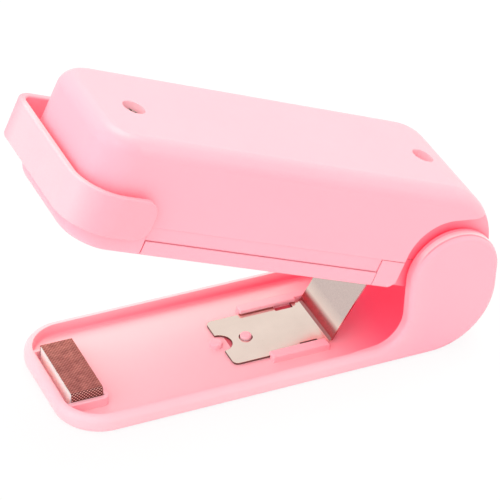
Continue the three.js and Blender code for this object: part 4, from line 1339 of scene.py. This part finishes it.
@dataclass
class UpperArm:
    """Top cover, lower frame and battery door, cut from one casing form."""

    casing: Casing = field(default_factory=Casing)
    seam: float = 0.17
    seam_height: float = 1.1
    door_seam: float = -2.4
    door_front: float = 85.7
    door_back: float = 21.6
    step_offset: float = 1.6
    step_height: float = 3.5
    belt_depth: float = 0.35
    pocket_radius: float = 11.5
    pocket_reach: float = 3.5
    pocket_gap: float = 2.05
    pocket_rise: float = 13.5
    pocket_wall: float = 1.4
    core_half: float = 16.2
    ear_inside: float = 16.5
    barrel_radius: float = 6.5
    tail_radius: float = 9.5
    trunnion_radius: float = 2.5
    trunnion_length: float = 1.1
    bulkhead: float = 1.1
    bay_half: float = 14.8
    bay_wall: float = 1
    bay_foot: float = -4.5
    bay_roof: float = 10.6
    bay_front: float = 84.0
    bay_back: float = 24.6
    pocket_front: float = 19.15
    pocket_back: float = 7.85
    roof_low: float = -4.4
    roof_high: float = -3.2
    roof_foot: float = -5.5
    leaf_half: float = 9.4
    pocket_wall_width: float = 1.8
    shelf_height: float = -1.4
    shelf_thickness: float = 1.2
    door_wall: float = 1.6
    hook_width: float = 3
    hook_offset: float = 13.4
    hook_length: float = 1.3
    hook_height: float = 0.9
    hook_root: float = 0.6
    latch_width: float = 8
    latch_wall: float = 1
    latch_height: float = 3.2
    latch_room: float = 0.9
    switch_reach: float = 15.6
    plunger_radius: float = 1.48
    post_radius: float = 2.6
    post_height: float = 8
    well_radius: float = 2.75
    well_wall: float = 1.3
    shank_room: float = 1.3
    stud_room: float = 1.28
    stud_depth: float = 2.6
    heater_gaps: Triple = (0.5, 0.6, 0.4)
    core_slack: float = 0.1
    flank_slack: float = 0.01
    round_slack: float = 0.4
    hem_slack: float = 2
    flank: float = 16.7
    wide: float = 30
    low: float = -20
    far: float = 140

    @property
    def half(self) -> float:
        """Half of the arm's width."""
        return self.casing.width / 2

    @property
    def room_height(self) -> float:
        """Height of the centre of the ears' rooms, over the hinge."""
        return (SHARED.ear_radius + self.pocket_gap
                - math.sqrt(self.pocket_radius ** 2 - self.pocket_reach ** 2))

    def _slab(self, *points: Point) -> Solid:
        """Returns a body across the arm with an outline in reach and height."""
        start, *others = [(-reach, height) for reach, height in points]
        return Pen("slab", Plane.SIDE, start, -self.wide).line(*others).body(2 * self.wide)

    def _ear_room(self, side: int, radius: float, inner: float) -> Solid:
        """Returns the room at a flank that the lower arm's ear turns in."""
        centre = (-self.pocket_reach, self.room_height)
        behind, foot = self.casing.back + SHARED.past + SHARED.over, -self.casing.drop
        outer, hem = self.half + SHARED.past, 2 * self.casing.hem_round
        roof = centre[1] + radius + (behind - centre[0]) * math.tan(math.radians(self.pocket_rise))
        pen = Pen("ear_room", Plane.SIDE, (behind, roof), -outer if side < 0 else inner)
        pen.line(on_circle(centre, radius, math.radians(90 + self.pocket_rise)))
        pen.arc(centre, 90 - self.pocket_rise, 20)
        front = centre[0] - radius
        pen.line((front, centre[1]), (front, foot + hem), (front - hem, foot),
                 (front - hem, foot - SHARED.past), (behind, foot - SHARED.past))
        return pen.body(outer - inner)

    def _shell(self, *solid: Solid) -> Solid:
        """Returns the casing's wall with lined rooms for the ears, and the solid bodies in it."""
        hollow = cut(self.casing.form(self.casing.wall), *solid)
        for side in (1, -1):
            cut(hollow, self._ear_room(side, self.pocket_radius + self.pocket_wall,
                                       self.core_half - self.pocket_wall))
        shell = cut(self.casing.form(), hollow)
        for side in (1, -1):
            cut(shell, self._ear_room(side, self.pocket_radius, self.core_half))
        return shell

    def _well(self, reach: float, depth: float) -> list[Solid]:
        """Returns a screw's boss, its well and its shank room."""
        seat = SHARED.crown - depth - SHARED.head_height
        sizes = (
            ("boss", self.well_radius + self.well_wall, self.post_height + SHARED.gap,
             SHARED.crown - self.casing.wall / 2, 48),
            ("well", self.well_radius, seat, SHARED.high, 64),
            ("room", self.shank_room, 0, seat + SHARED.over, 32),
        )
        return [rod(name, radius, (-reach, SHARED.screw_side, low), (-reach, SHARED.screw_side, high),
                    sides) for name, radius, low, high, sides in sizes]

    def _cover(self) -> Solid:
        """Returns the top cover."""
        top, high, back = self.seam_height, SHARED.high, -self.wide
        step = self.door_front + self.step_offset
        cover = keep(self._shell(), self._slab(
            (back, top), (self.door_back, top), (self.door_back, self.door_seam),
            (self.door_front, self.door_seam), (self.door_front, top), (step, top),
            (step, self.step_height), (self.far, self.step_height), (self.far, high), (back, high)))
        front_well, back_well = self._well(*SHARED.front_screw), self._well(*SHARED.back_screw)
        bay = box("bay_room",
                  (-self.door_front - self.seam - self.bulkhead - SHARED.gap, -self.flank, self.low),
                  (-self.door_back, self.flank, self.bay_roof + self.bay_wall + SHARED.gap))
        fuse(cover, cut(front_well[0], bay), back_well[0])
        cut(cover, *front_well[1:], *back_well[1:],
            self._across("barrel_room", self.barrel_radius + SHARED.gap, self.core_half + SHARED.over, 64))
        for side in (1, -1):
            cut(cover, box("belt", (-self.door_front, side * (self.half - self.belt_depth),
                                    self.door_seam - SHARED.past),
                           (-self.door_back, side * (self.half + SHARED.past), self.seam_height)))
        cover.name = "top_cover"
        return cover

    def _regions(self) -> tuple[Solid, Solid]:
        """Returns the frame's share of the casing at the back and at the nose."""
        low, top = -self.wide, self.seam_height - self.seam
        start, back = self.door_front + self.seam, self.door_back - self.seam
        step = self.door_front + self.step_offset + self.seam
        nose_top = self.step_height - self.seam
        rear = self._slab((low, low), (back, low), (back, top), (low, top))
        nose = self._slab((start, low), (self.far, low), (self.far, nose_top), (step, nose_top),
                          (step, top), (start, top))
        return rear, nose

    def _floors(self) -> list[Solid]:
        """Returns the blocks that stay solid: undersides, nose shelf and bulkheads."""
        foot, wide = self.casing.wall - self.casing.drop, self.wide
        start, back = -self.door_front - self.seam, self.seam - self.door_back
        sizes = (("floor", -self.far, 0, -wide, foot),
                 ("shelf", -self.far, start, self.shelf_height - self.shelf_thickness,
                  self.shelf_height),
                 ("front_wall", start - self.bulkhead, start + SHARED.over, -wide, wide),
                 ("back_wall", back - SHARED.over, back + self.bulkhead, -wide, wide))
        return [box(name, (x0, -wide, z0), (x1, wide, z1)) for name, x0, x1, z0, z1 in sizes]

    def _bay(self) -> Solid:
        """Returns the battery bay, open towards the door."""
        lap = self.bulkhead / 2
        bay = box("bay", (-self.door_front - self.seam - lap, -self.bay_half - self.bay_wall,
                          self.bay_foot),
                  (self.seam + lap - self.door_back, self.bay_half + self.bay_wall,
                   self.bay_roof + self.bay_wall))
        return cut(bay, box("room", (-self.bay_front, -self.bay_half, self.low),
                            (-self.bay_back, self.bay_half, self.bay_roof)))

    def _hook(self, side: int, room: float) -> Solid:
        """Returns one of the door's front hooks, or with some room the slot for it."""
        y = side * self.hook_offset
        centre = -self.casing.drop + self.door_wall - self.hook_height / 2
        half_width, half_height = self.hook_width / 2 + room, self.hook_height / 2 + room
        return box("hook", (-self.door_front - self.seam - self.hook_length - room, y - half_width,
                            centre - half_height),
                   (-self.door_front + self.hook_root, y + half_width, centre + half_height))

    def _posts(self) -> list[Solid]:
        """Returns the two screws' posts."""
        return [rod("post", self.post_radius, (-reach, SHARED.screw_side, base),
                    (-reach, SHARED.screw_side, self.post_height), 40)
                for (reach, _), base in ((SHARED.front_screw, self.shelf_height - self.shelf_thickness / 2),
                                         (SHARED.back_screw, self.roof_low))]

    def _across(self, name: str, radius: float, half: float, sides: int) -> Solid:
        """Returns a rod along the hinge, from one side to the other."""
        return rod(name, radius, (0, -half, 0), (0, half, 0), sides)

    def _frame(self) -> Solid:
        """Returns the lower frame: nose, bay, rear bridge, barrel and trunnions."""
        shell = self._shell(*self._floors())
        rear, nose = self._regions()
        frame_body = keep(copy_of(shell, "frame_moulding"), rear)
        roof = self.pocket_wall_width
        fuse(frame_body, keep(shell, nose), self._bay(),
             box("pocket_roof", (-self.pocket_front - roof, -self.leaf_half - roof, self.roof_foot),
                 (roof - self.pocket_back, self.leaf_half + roof, self.roof_high)),
             self._across("barrel", self.barrel_radius, self.core_half, 72), *self._posts(),
             self._across("trunnions", self.trunnion_radius, self.ear_inside + self.trunnion_length, 48))
        latch_half = self.latch_width / 2 + SHARED.gap
        cut(frame_body,
            box("leaf_pocket", (-self.pocket_front, -self.leaf_half, self.low),
                (-self.pocket_back, self.leaf_half, self.roof_low)),
            box("latch_room", (-self.door_back - self.latch_wall - self.latch_room, -latch_half, self.low),
                (self.seam - self.door_back, latch_half,
                 self.latch_height + self.door_wall - self.casing.drop + SHARED.gap)),
            self._hook(1, SHARED.gap), self._hook(-1, SHARED.gap),
            rod("plunger_room", self.plunger_radius, (-self.switch_reach, 0, self.low),
                (-self.switch_reach, 0, -self.low), 40))
        for side in (1, -1):
            cut(frame_body, rod("stud_room", self.stud_room, *[
                (-SHARED.stud_reach, side * (self.half + out), SHARED.stud_height)
                for out in (-self.stud_depth, SHARED.past)], 40))
        tail = box("tail", (0, -self.wide, -self.wide), (self.wide, self.wide, self.seam_height))
        cut(tail, self._across("swing", self.tail_radius, self.wide + 2 * SHARED.past, 96))
        return cut(frame_body, tail, self._heater_room())

    def _heater_room(self) -> Solid:
        """Returns the window that the heater sits in."""
        low, high = heater_box()
        gap_x, gap_y, gap_z = self.heater_gaps
        return box("window", (low.x - gap_x, low.y - gap_y, self.low),
                   (high.x + gap_x, high.y + gap_y, high.z + gap_z))

    def _door(self) -> Solid:
        """Returns the battery door with its hooks and latch."""
        seam, front = self.door_seam - self.seam, self.door_front - self.seam
        inside = self.half - self.door_wall
        door = keep(self.casing.form(), self._slab(
            (self.door_back, -self.wide), (self.door_back, seam), (front, seam), (front, -self.wide)))
        cut(door, box("room", (-self.far, -inside, self.door_wall - self.casing.drop),
                      (self.far, inside, self.wide)))
        latch = box("latch", (-self.door_back - self.latch_wall, -self.latch_width / 2,
                              self.door_wall / 2 - self.casing.drop),
                    (-self.door_back, self.latch_width / 2,
                     self.door_wall + self.latch_height - self.casing.drop))
        fuse(door, latch, self._hook(1, 0), self._hook(-1, 0))
        door.name = "door_panel"
        return door

    def build(self, bench: Bench) -> None:
        """Builds the three mouldings and hands them over."""
        frame_body, cover, door = self._frame(), self._cover(), self._door()
        place = bench.arm()
        bench.hand_over(cover, place, Finishes.case, Body.UPPER, ["top_shell"])
        bench.hand_over(frame_body, place, Finishes.case, Body.UPPER, ["lower_frame"])
        # Painted shade lines the ears' rooms
        self._line(cover, bench, Finishes.pocket, self._in_pocket)
        self._line(frame_body, bench, Finishes.pocket, self._in_pocket)
        # Painted light on the walls of the screw wells
        self._line(cover, bench, Finishes.well, self._in_well)
        bench.hand_over(door, place, Finishes.case, Body.DOOR, ["battery_door"])

    def _line(self, piece: Solid, bench: Bench, finish: Finish,
              test: Callable[[Vector, Vector], bool]) -> None:
        """Gives a second finish to the faces whose middle and normal in the arm pass a test."""
        piece.data.materials.append(bench.finishes.of(finish))
        back = bench.arm().inverted()
        turn = back.to_3x3().normalized()
        for face in piece.data.polygons:
            if test(back @ face.center, turn @ face.normal):
                face.material_index = len(piece.data.materials) - 1

    def _in_pocket(self, place: Vector, way: Vector) -> bool:
        """Tells whether a face lines one of the ears' rooms."""
        sideways, past = abs(place.y), place.x + self.pocket_reach
        between = self.core_half - self.core_slack < sideways < self.half - self.flank_slack
        on_back = abs(sideways - self.core_half) < self.core_slack / 2
        near = math.hypot(past, place.z - self.room_height) < self.pocket_radius + self.round_slack
        return ((between and abs(way.y) < ASLANT or on_back)
                and past > -self.pocket_radius - self.hem_slack and (near or past > 0))

    def _in_well(self, place: Vector, way: Vector) -> bool:
        """Tells whether a face belongs to the wall of a screw's well."""
        side = place.y - SHARED.screw_side
        near = any(math.hypot(place.x + reach, side) < self.well_radius + self.core_slack
                   for reach, _ in (SHARED.front_screw, SHARED.back_screw))
        return near and abs(way.z) < ASLANT and place.z > self.post_height


def heater_box() -> tuple[Vector, Vector]:
    """Returns the box of the heater's nodes in the upper arm's millimetres."""
    back = Bench().arm().inverted()
    corners = [back @ vertex.co for node in ("heater_block", "heater_cover", "heating_ribbon",
                                             "heater_terminal_left", "heater_terminal_right")
               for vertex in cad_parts[node].data.vertices]
    return Vector([*map(min, *corners)]), Vector([*map(max, *corners)])


@dataclass
class Yoke:
    """The locking strap bent round the nose, with a stud in each end."""

    end: float = 87.2
    reach: float = 107.1
    near: float = 21.5
    far: float = 22.7
    wall: float = 1.8
    bottom: float = -1.4
    top: float = 8.9
    near_radius: float = 11
    far_radius: float = 4.2
    end_radius: float = 3.8
    edge: float = 0.55
    stud_radius: float = 1.2
    stud_end: float = 17.2

    def build(self, bench: Bench) -> None:
        """Builds the strap and hands it over."""
        pen = Pen("yoke_strap", Plane.PLAN, (-self.end, self.far), self.bottom)
        pen.line((self.far_radius - self.reach, self.far))
        pen.arc((self.far_radius - self.reach, self.far - self.far_radius), 90, 12)
        pen.line((-self.reach, self.near_radius - self.near))
        pen.arc((self.near_radius - self.reach, self.near_radius - self.near), 90, 26)
        pen.line((-self.end, -self.near))
        strap = pen.sheet(self.top - self.bottom)
        pick(strap, Part.VERT, lambda v: sits_at(v.co.x, -self.end))
        bpy.ops.mesh.bevel(offset=self.end_radius, segments=10, affect="VERTICES", clamp_overlap=False)
        bpy.ops.mesh.select_all(action="SELECT")
        bpy.ops.mesh.normals_make_consistent(inside=False)
        leave()
        self._thicken(strap)
        bevel(strap, self.edge, 4, folds)
        half_wall = self.wall / 2
        for ends in ((self.stud_end, self.far - half_wall), (half_wall - self.near, -self.stud_end)):
            fuse(strap, rod("stud", self.stud_radius, *[
                (-SHARED.stud_reach, y, SHARED.stud_height) for y in ends], 40))
        bench.hand_over(strap, bench.arm(), Finishes.yoke, Body.YOKE, ["lock_yoke"])

    def _thicken(self, strap: Solid) -> None:
        """Gives the sheet its wall, inside its outer line."""
        outward = sum(face.normal.y * face.center.y + face.normal.x * (face.center.x + self.end)
                      for face in strap.data.polygons) > 0
        modify(strap, "SOLIDIFY", thickness=self.wall, offset=-1 if outward else 1,
               use_even_offset=True)


@dataclass
class Screw:
    """Pan-head screw with a cross recess, turned from an outline."""

    name: str
    node: str
    reach: float
    depth: float
    head_radius: float = 2.3
    shank_radius: float = 1
    foot: float = 3
    slot_width: float = 0.6
    slot_depth: float = 0.7
    slot_reach: float = 0.55
    play: float = 0.1
    flat: float = 1.1
    edge_height: float = 0.45

    def build(self, bench: Bench) -> None:
        """Builds the screw and hands it over."""
        seat = SHARED.crown - self.depth - SHARED.head_height + self.play
        top = seat + SHARED.head_height
        edge = seat + SHARED.head_height * self.edge_height
        shank, head = self.shank_radius, self.head_radius
        dome = [(self.flat + (head - self.flat) * math.cos(turn), edge + (top - edge) * math.sin(turn))
                for turn in [step * math.pi / 8 for step in range(1, 5)]]
        centre, side = -self.reach, SHARED.screw_side
        pen = Pen(self.name, Plane.SIDE, (centre, self.foot), side)
        pen.line(*[(centre + out, height) for out, height in (
            (shank / 3, self.foot), (shank, self.foot + shank), (shank, seat), (head, seat),
            (head, edge), *dome, (0, top))])
        screw = pen.turned((centre, 0), (0, 0, 1))
        long, wide = head * self.slot_reach, self.slot_width / 2
        for dx, dy in ((long, wide), (wide, long)):
            cut(screw, box("slot", (centre - dx, side - dy, top - self.slot_depth),
                           (centre + dx, side + dy, top + SHARED.over)))
        bench.hand_over(screw, bench.arm(), Finishes.nickel, Body.UPPER, [self.node])


@dataclass
class Pad:
    """Silicone pad in its fence, and the woven tape folded over it."""

    setback: float = 3.7
    width: float = 8
    length: float = 19.8
    foot: float = 1.5
    top: float = 6.1
    tape: float = 0.25
    tape_setback: float = 0.15
    tape_drop: float = 3.6
    fold: float = 0.85
    film: float = 0.1
    pad_round: float = 0.5

    def build(self, bench: Bench) -> None:
        """Builds the pad and its tape and hands them over."""
        half, under = self.length / 2, self.top - self.tape - self.film
        pad = box("pad_block", (self.setback, -half, self.foot), (self.setback + self.width, half, under))
        bevel(pad, self.pad_round, 4,
              lambda e: runs_along(e, 0) and middle(e).z > self.foot + self.film
              or runs_along(e, 2) and middle(e).x < self.setback + 1)
        bench.hand_over(pad, bench.row(), Finishes.rubber, Body.LOWER, ["sealing_pad"])
        outer, low = half + self.film + self.tape, self.top - self.tape_drop
        pen = Pen("pad_tape", Plane.END, (outer, low), self.setback + self.tape_setback)
        pen.line((outer, self.top - self.fold)).arc((outer - self.fold, self.top - self.fold), 90, 6)
        pen.line((self.fold - outer, self.top)).arc((self.fold - outer, self.top - self.fold), 90, 6)
        pen.line((-outer, low))
        tape = pen.sheet(self.width - self.tape_setback)
        upward = sum(face.normal.z for face in tape.data.polygons) > 0
        modify(tape, "SOLIDIFY", thickness=self.tape, offset=-1 if upward else 1)
        bench.hand_over(tape, bench.row(), Finishes.tape, Body.LOWER, ["pad_cover"])


@dataclass
class Inside:
    """Finishes of the frame's own nodes that stay: cells, contacts, heater, switch and wires."""

    plain: tuple[tuple[Finish, tuple[str, ...]], ...] = (
        (Finishes.nickel, ("contact_bridge", "contact_negative", "contact_positive",
                           "contact_spring_left", "contact_spring_right", "heating_ribbon")),
        (Finishes.ceramic, ("heater_block", "switch_plunger")),
        (Finishes.tape, ("heater_cover",)),
        (Finishes.brass, ("heater_terminal_left", "heater_terminal_right")),
        (Finishes.black, ("switch_body",)),
        (Finishes.black_wire, ("wire_heater", "wire_negative")),
        (Finishes.red_wire, ("wire_positive",)),
    )
    sleeve: Colour = (44, 58, 74)
    band: Colour = (198, 120, 62)

    def dress(self, bench: Bench) -> None:
        """Gives each node its finish."""
        for finish, nodes in self.plain:
            for node in nodes:
                dress(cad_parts[node], bench.finishes.of(finish))
                LOG.info("%s: finish only", node)
        slope = math.radians(bench.open_degrees)
        for node, way in (("battery_left", -1), ("battery_right", 1)):
            low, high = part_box(node)
            sleeve = CellSleeve(node + "_sleeve", self.sleeve, self.band, (low + high) / 2 / MILLIMETRE,
                                way * Vector((math.cos(slope), 0, -math.sin(slope))))
            dress(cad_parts[node], sleeve.make())


@dataclass(frozen=True)
class Studio:
    """Pale floor, soft lamps and the camera at the photograph's place."""

    camera: Triple = (-0.237538, -0.479365, 0.411749)
    right: Triple = (0.90974232, -0.41279804, 0.04434741)
    up: Triple = (0.20851926, 0.54666749, 0.81097125)
    back: Triple = (-0.35901063, -0.72852758, 0.5834029)
    lens: float = 200.77
    sensor: float = 36
    clip: Point = (0.01, 20)
    bounces: int = 24
    diffuse_bounces: int = 16
    floor_size: float = 6
    floor_drop: float = 0.0002
    sky: float = 0.92
    sky_colour: tuple[float, ...] = (1, 0.985, 0.975, 1)
    white: tuple[float, ...] = (1, 1, 1, 1)
    paper: tuple[float, ...] = (0.9, 0.9, 0.9, 1)
    speck: tuple[float, ...] = (0.88, 0.88, 0.88, 1)
    shadow: float = 0.12
    aim: Triple = (0, 0, 0.03)
    overhead: float = 3.75
    front: float = 1.2
    side: float = 1.3

    def build(self) -> None:
        """Adds the camera, the lamps, the world and the floor."""
        scene = bpy.context.scene
        scene.view_settings.view_transform = "Standard"
        scene.cycles.diffuse_bounces = self.diffuse_bounces
        scene.cycles.max_bounces = self.bounces
        self._camera(scene)
        self._world(scene)
        self._lamp("overhead", (0.2, 0.2, 0.75), 0.5, self.overhead, (1, 1, 0.76))
        self._lamp("front", (-0.45, -0.45, 0.6), 0.4, self.front)
        self._lamp("side", (-0.8, 0, 0.3), 0.5, self.side)
        self._floor()

    def _camera(self, scene: bpy.types.Scene) -> None:
        """Adds the camera."""
        data = bpy.data.cameras.new("viewpoint")
        data.sensor_width = self.sensor
        data.lens = self.lens
        data.clip_start, data.clip_end = self.clip
        made = bpy.data.objects.new("viewpoint", data)
        scene.collection.objects.link(made)
        turn = Matrix((self.right, self.up, self.back)).transposed()
        made.matrix_world = Matrix.Translation(self.camera) @ turn.to_4x4()
        scene.camera = made

    def _world(self, scene: bpy.types.Scene) -> None:
        """Lights evenly from all round, and shows white behind."""
        scene.world = bpy.data.worlds.new("studio")
        scene.world.use_nodes = True
        graph = Graph(scene.world.node_tree, "ShaderNodeOutputWorld")
        lit, shown = (graph.node("ShaderNodeBackground", None, {"Color": colour, "Strength": strength})
                      for colour, strength in ((self.sky_colour, self.sky), (self.white, 1)))
        graph.set(graph.output, "Surface", graph.mix(self._seen(graph), lit, shown))

    @staticmethod
    def _seen(graph: Graph) -> Value:
        """Returns 1 for rays that show a surface: from the camera, a gloss or a transmission."""
        path = graph.add("ShaderNodeLightPath")
        return graph.clamp(sum(Value(graph, path.outputs[f"Is {ray} Ray"])
                               for ray in ("Camera", "Glossy", "Transmission")))

    def _lamp(self, name: str, place: Triple, size: float, power: float,
              colour: Triple = (1, 1, 1)) -> None:
        """Adds one soft square lamp that faces the object."""
        data = bpy.data.lights.new(name, "AREA")
        data.color = colour
        data.shape = "SQUARE"
        data.size = size
        data.energy = power
        made = bpy.data.objects.new(name, data)
        bpy.context.scene.collection.objects.link(made)
        made.location = place
        made.rotation_mode = "QUATERNION"
        made.rotation_quaternion = (Vector(place) - Vector(self.aim)).to_track_quat("Z", "Y")

    def _floor(self) -> None:
        """Adds a wide pale floor that is clear from below, so that the underside can be seen."""
        deselect()
        bpy.ops.mesh.primitive_plane_add(size=self.floor_size, location=(0, 0, -self.floor_drop))
        floor = bpy.context.object
        floor.name = "floor"
        settle()
        graph = Surface("floor_paper")
        specks = graph.noise(graph.place(), 0.8, 3)
        material = graph.finish(Base_Color=graph.blend(specks, self.paper, self.speck), Roughness=0.9)
        white = graph.node("ShaderNodeEmission", None, {"Strength": 1})
        shown = graph.mix(self.shadow, white, graph.shader)
        from_above = graph.mix(self._seen(graph), graph.shader, shown)
        below = graph.node("ShaderNodeNewGeometry", output="Backfacing")
        clear = graph.node("ShaderNodeBsdfTransparent")
        graph.set(graph.output, "Surface", graph.mix(below, from_above, clear))
        dress(floor, material)


def main() -> None:
    """Builds the sealer's pieces in order and reports each."""
    logging.basicConfig(level=logging.INFO, format="%(name)s %(message)s")
    Studio().build()
    bench = Bench()
    LowerArm().build(bench)
    Leaf().build(bench)
    Pad().build(bench)
    UpperArm().build(bench)
    Yoke().build(bench)
    Screw("front_screw", "screw_front", *SHARED.front_screw).build(bench)
    Screw("back_screw", "screw_back", *SHARED.back_screw).build(bench)
    Inside().dress(bench)


if __name__ == "__main__":
    main()
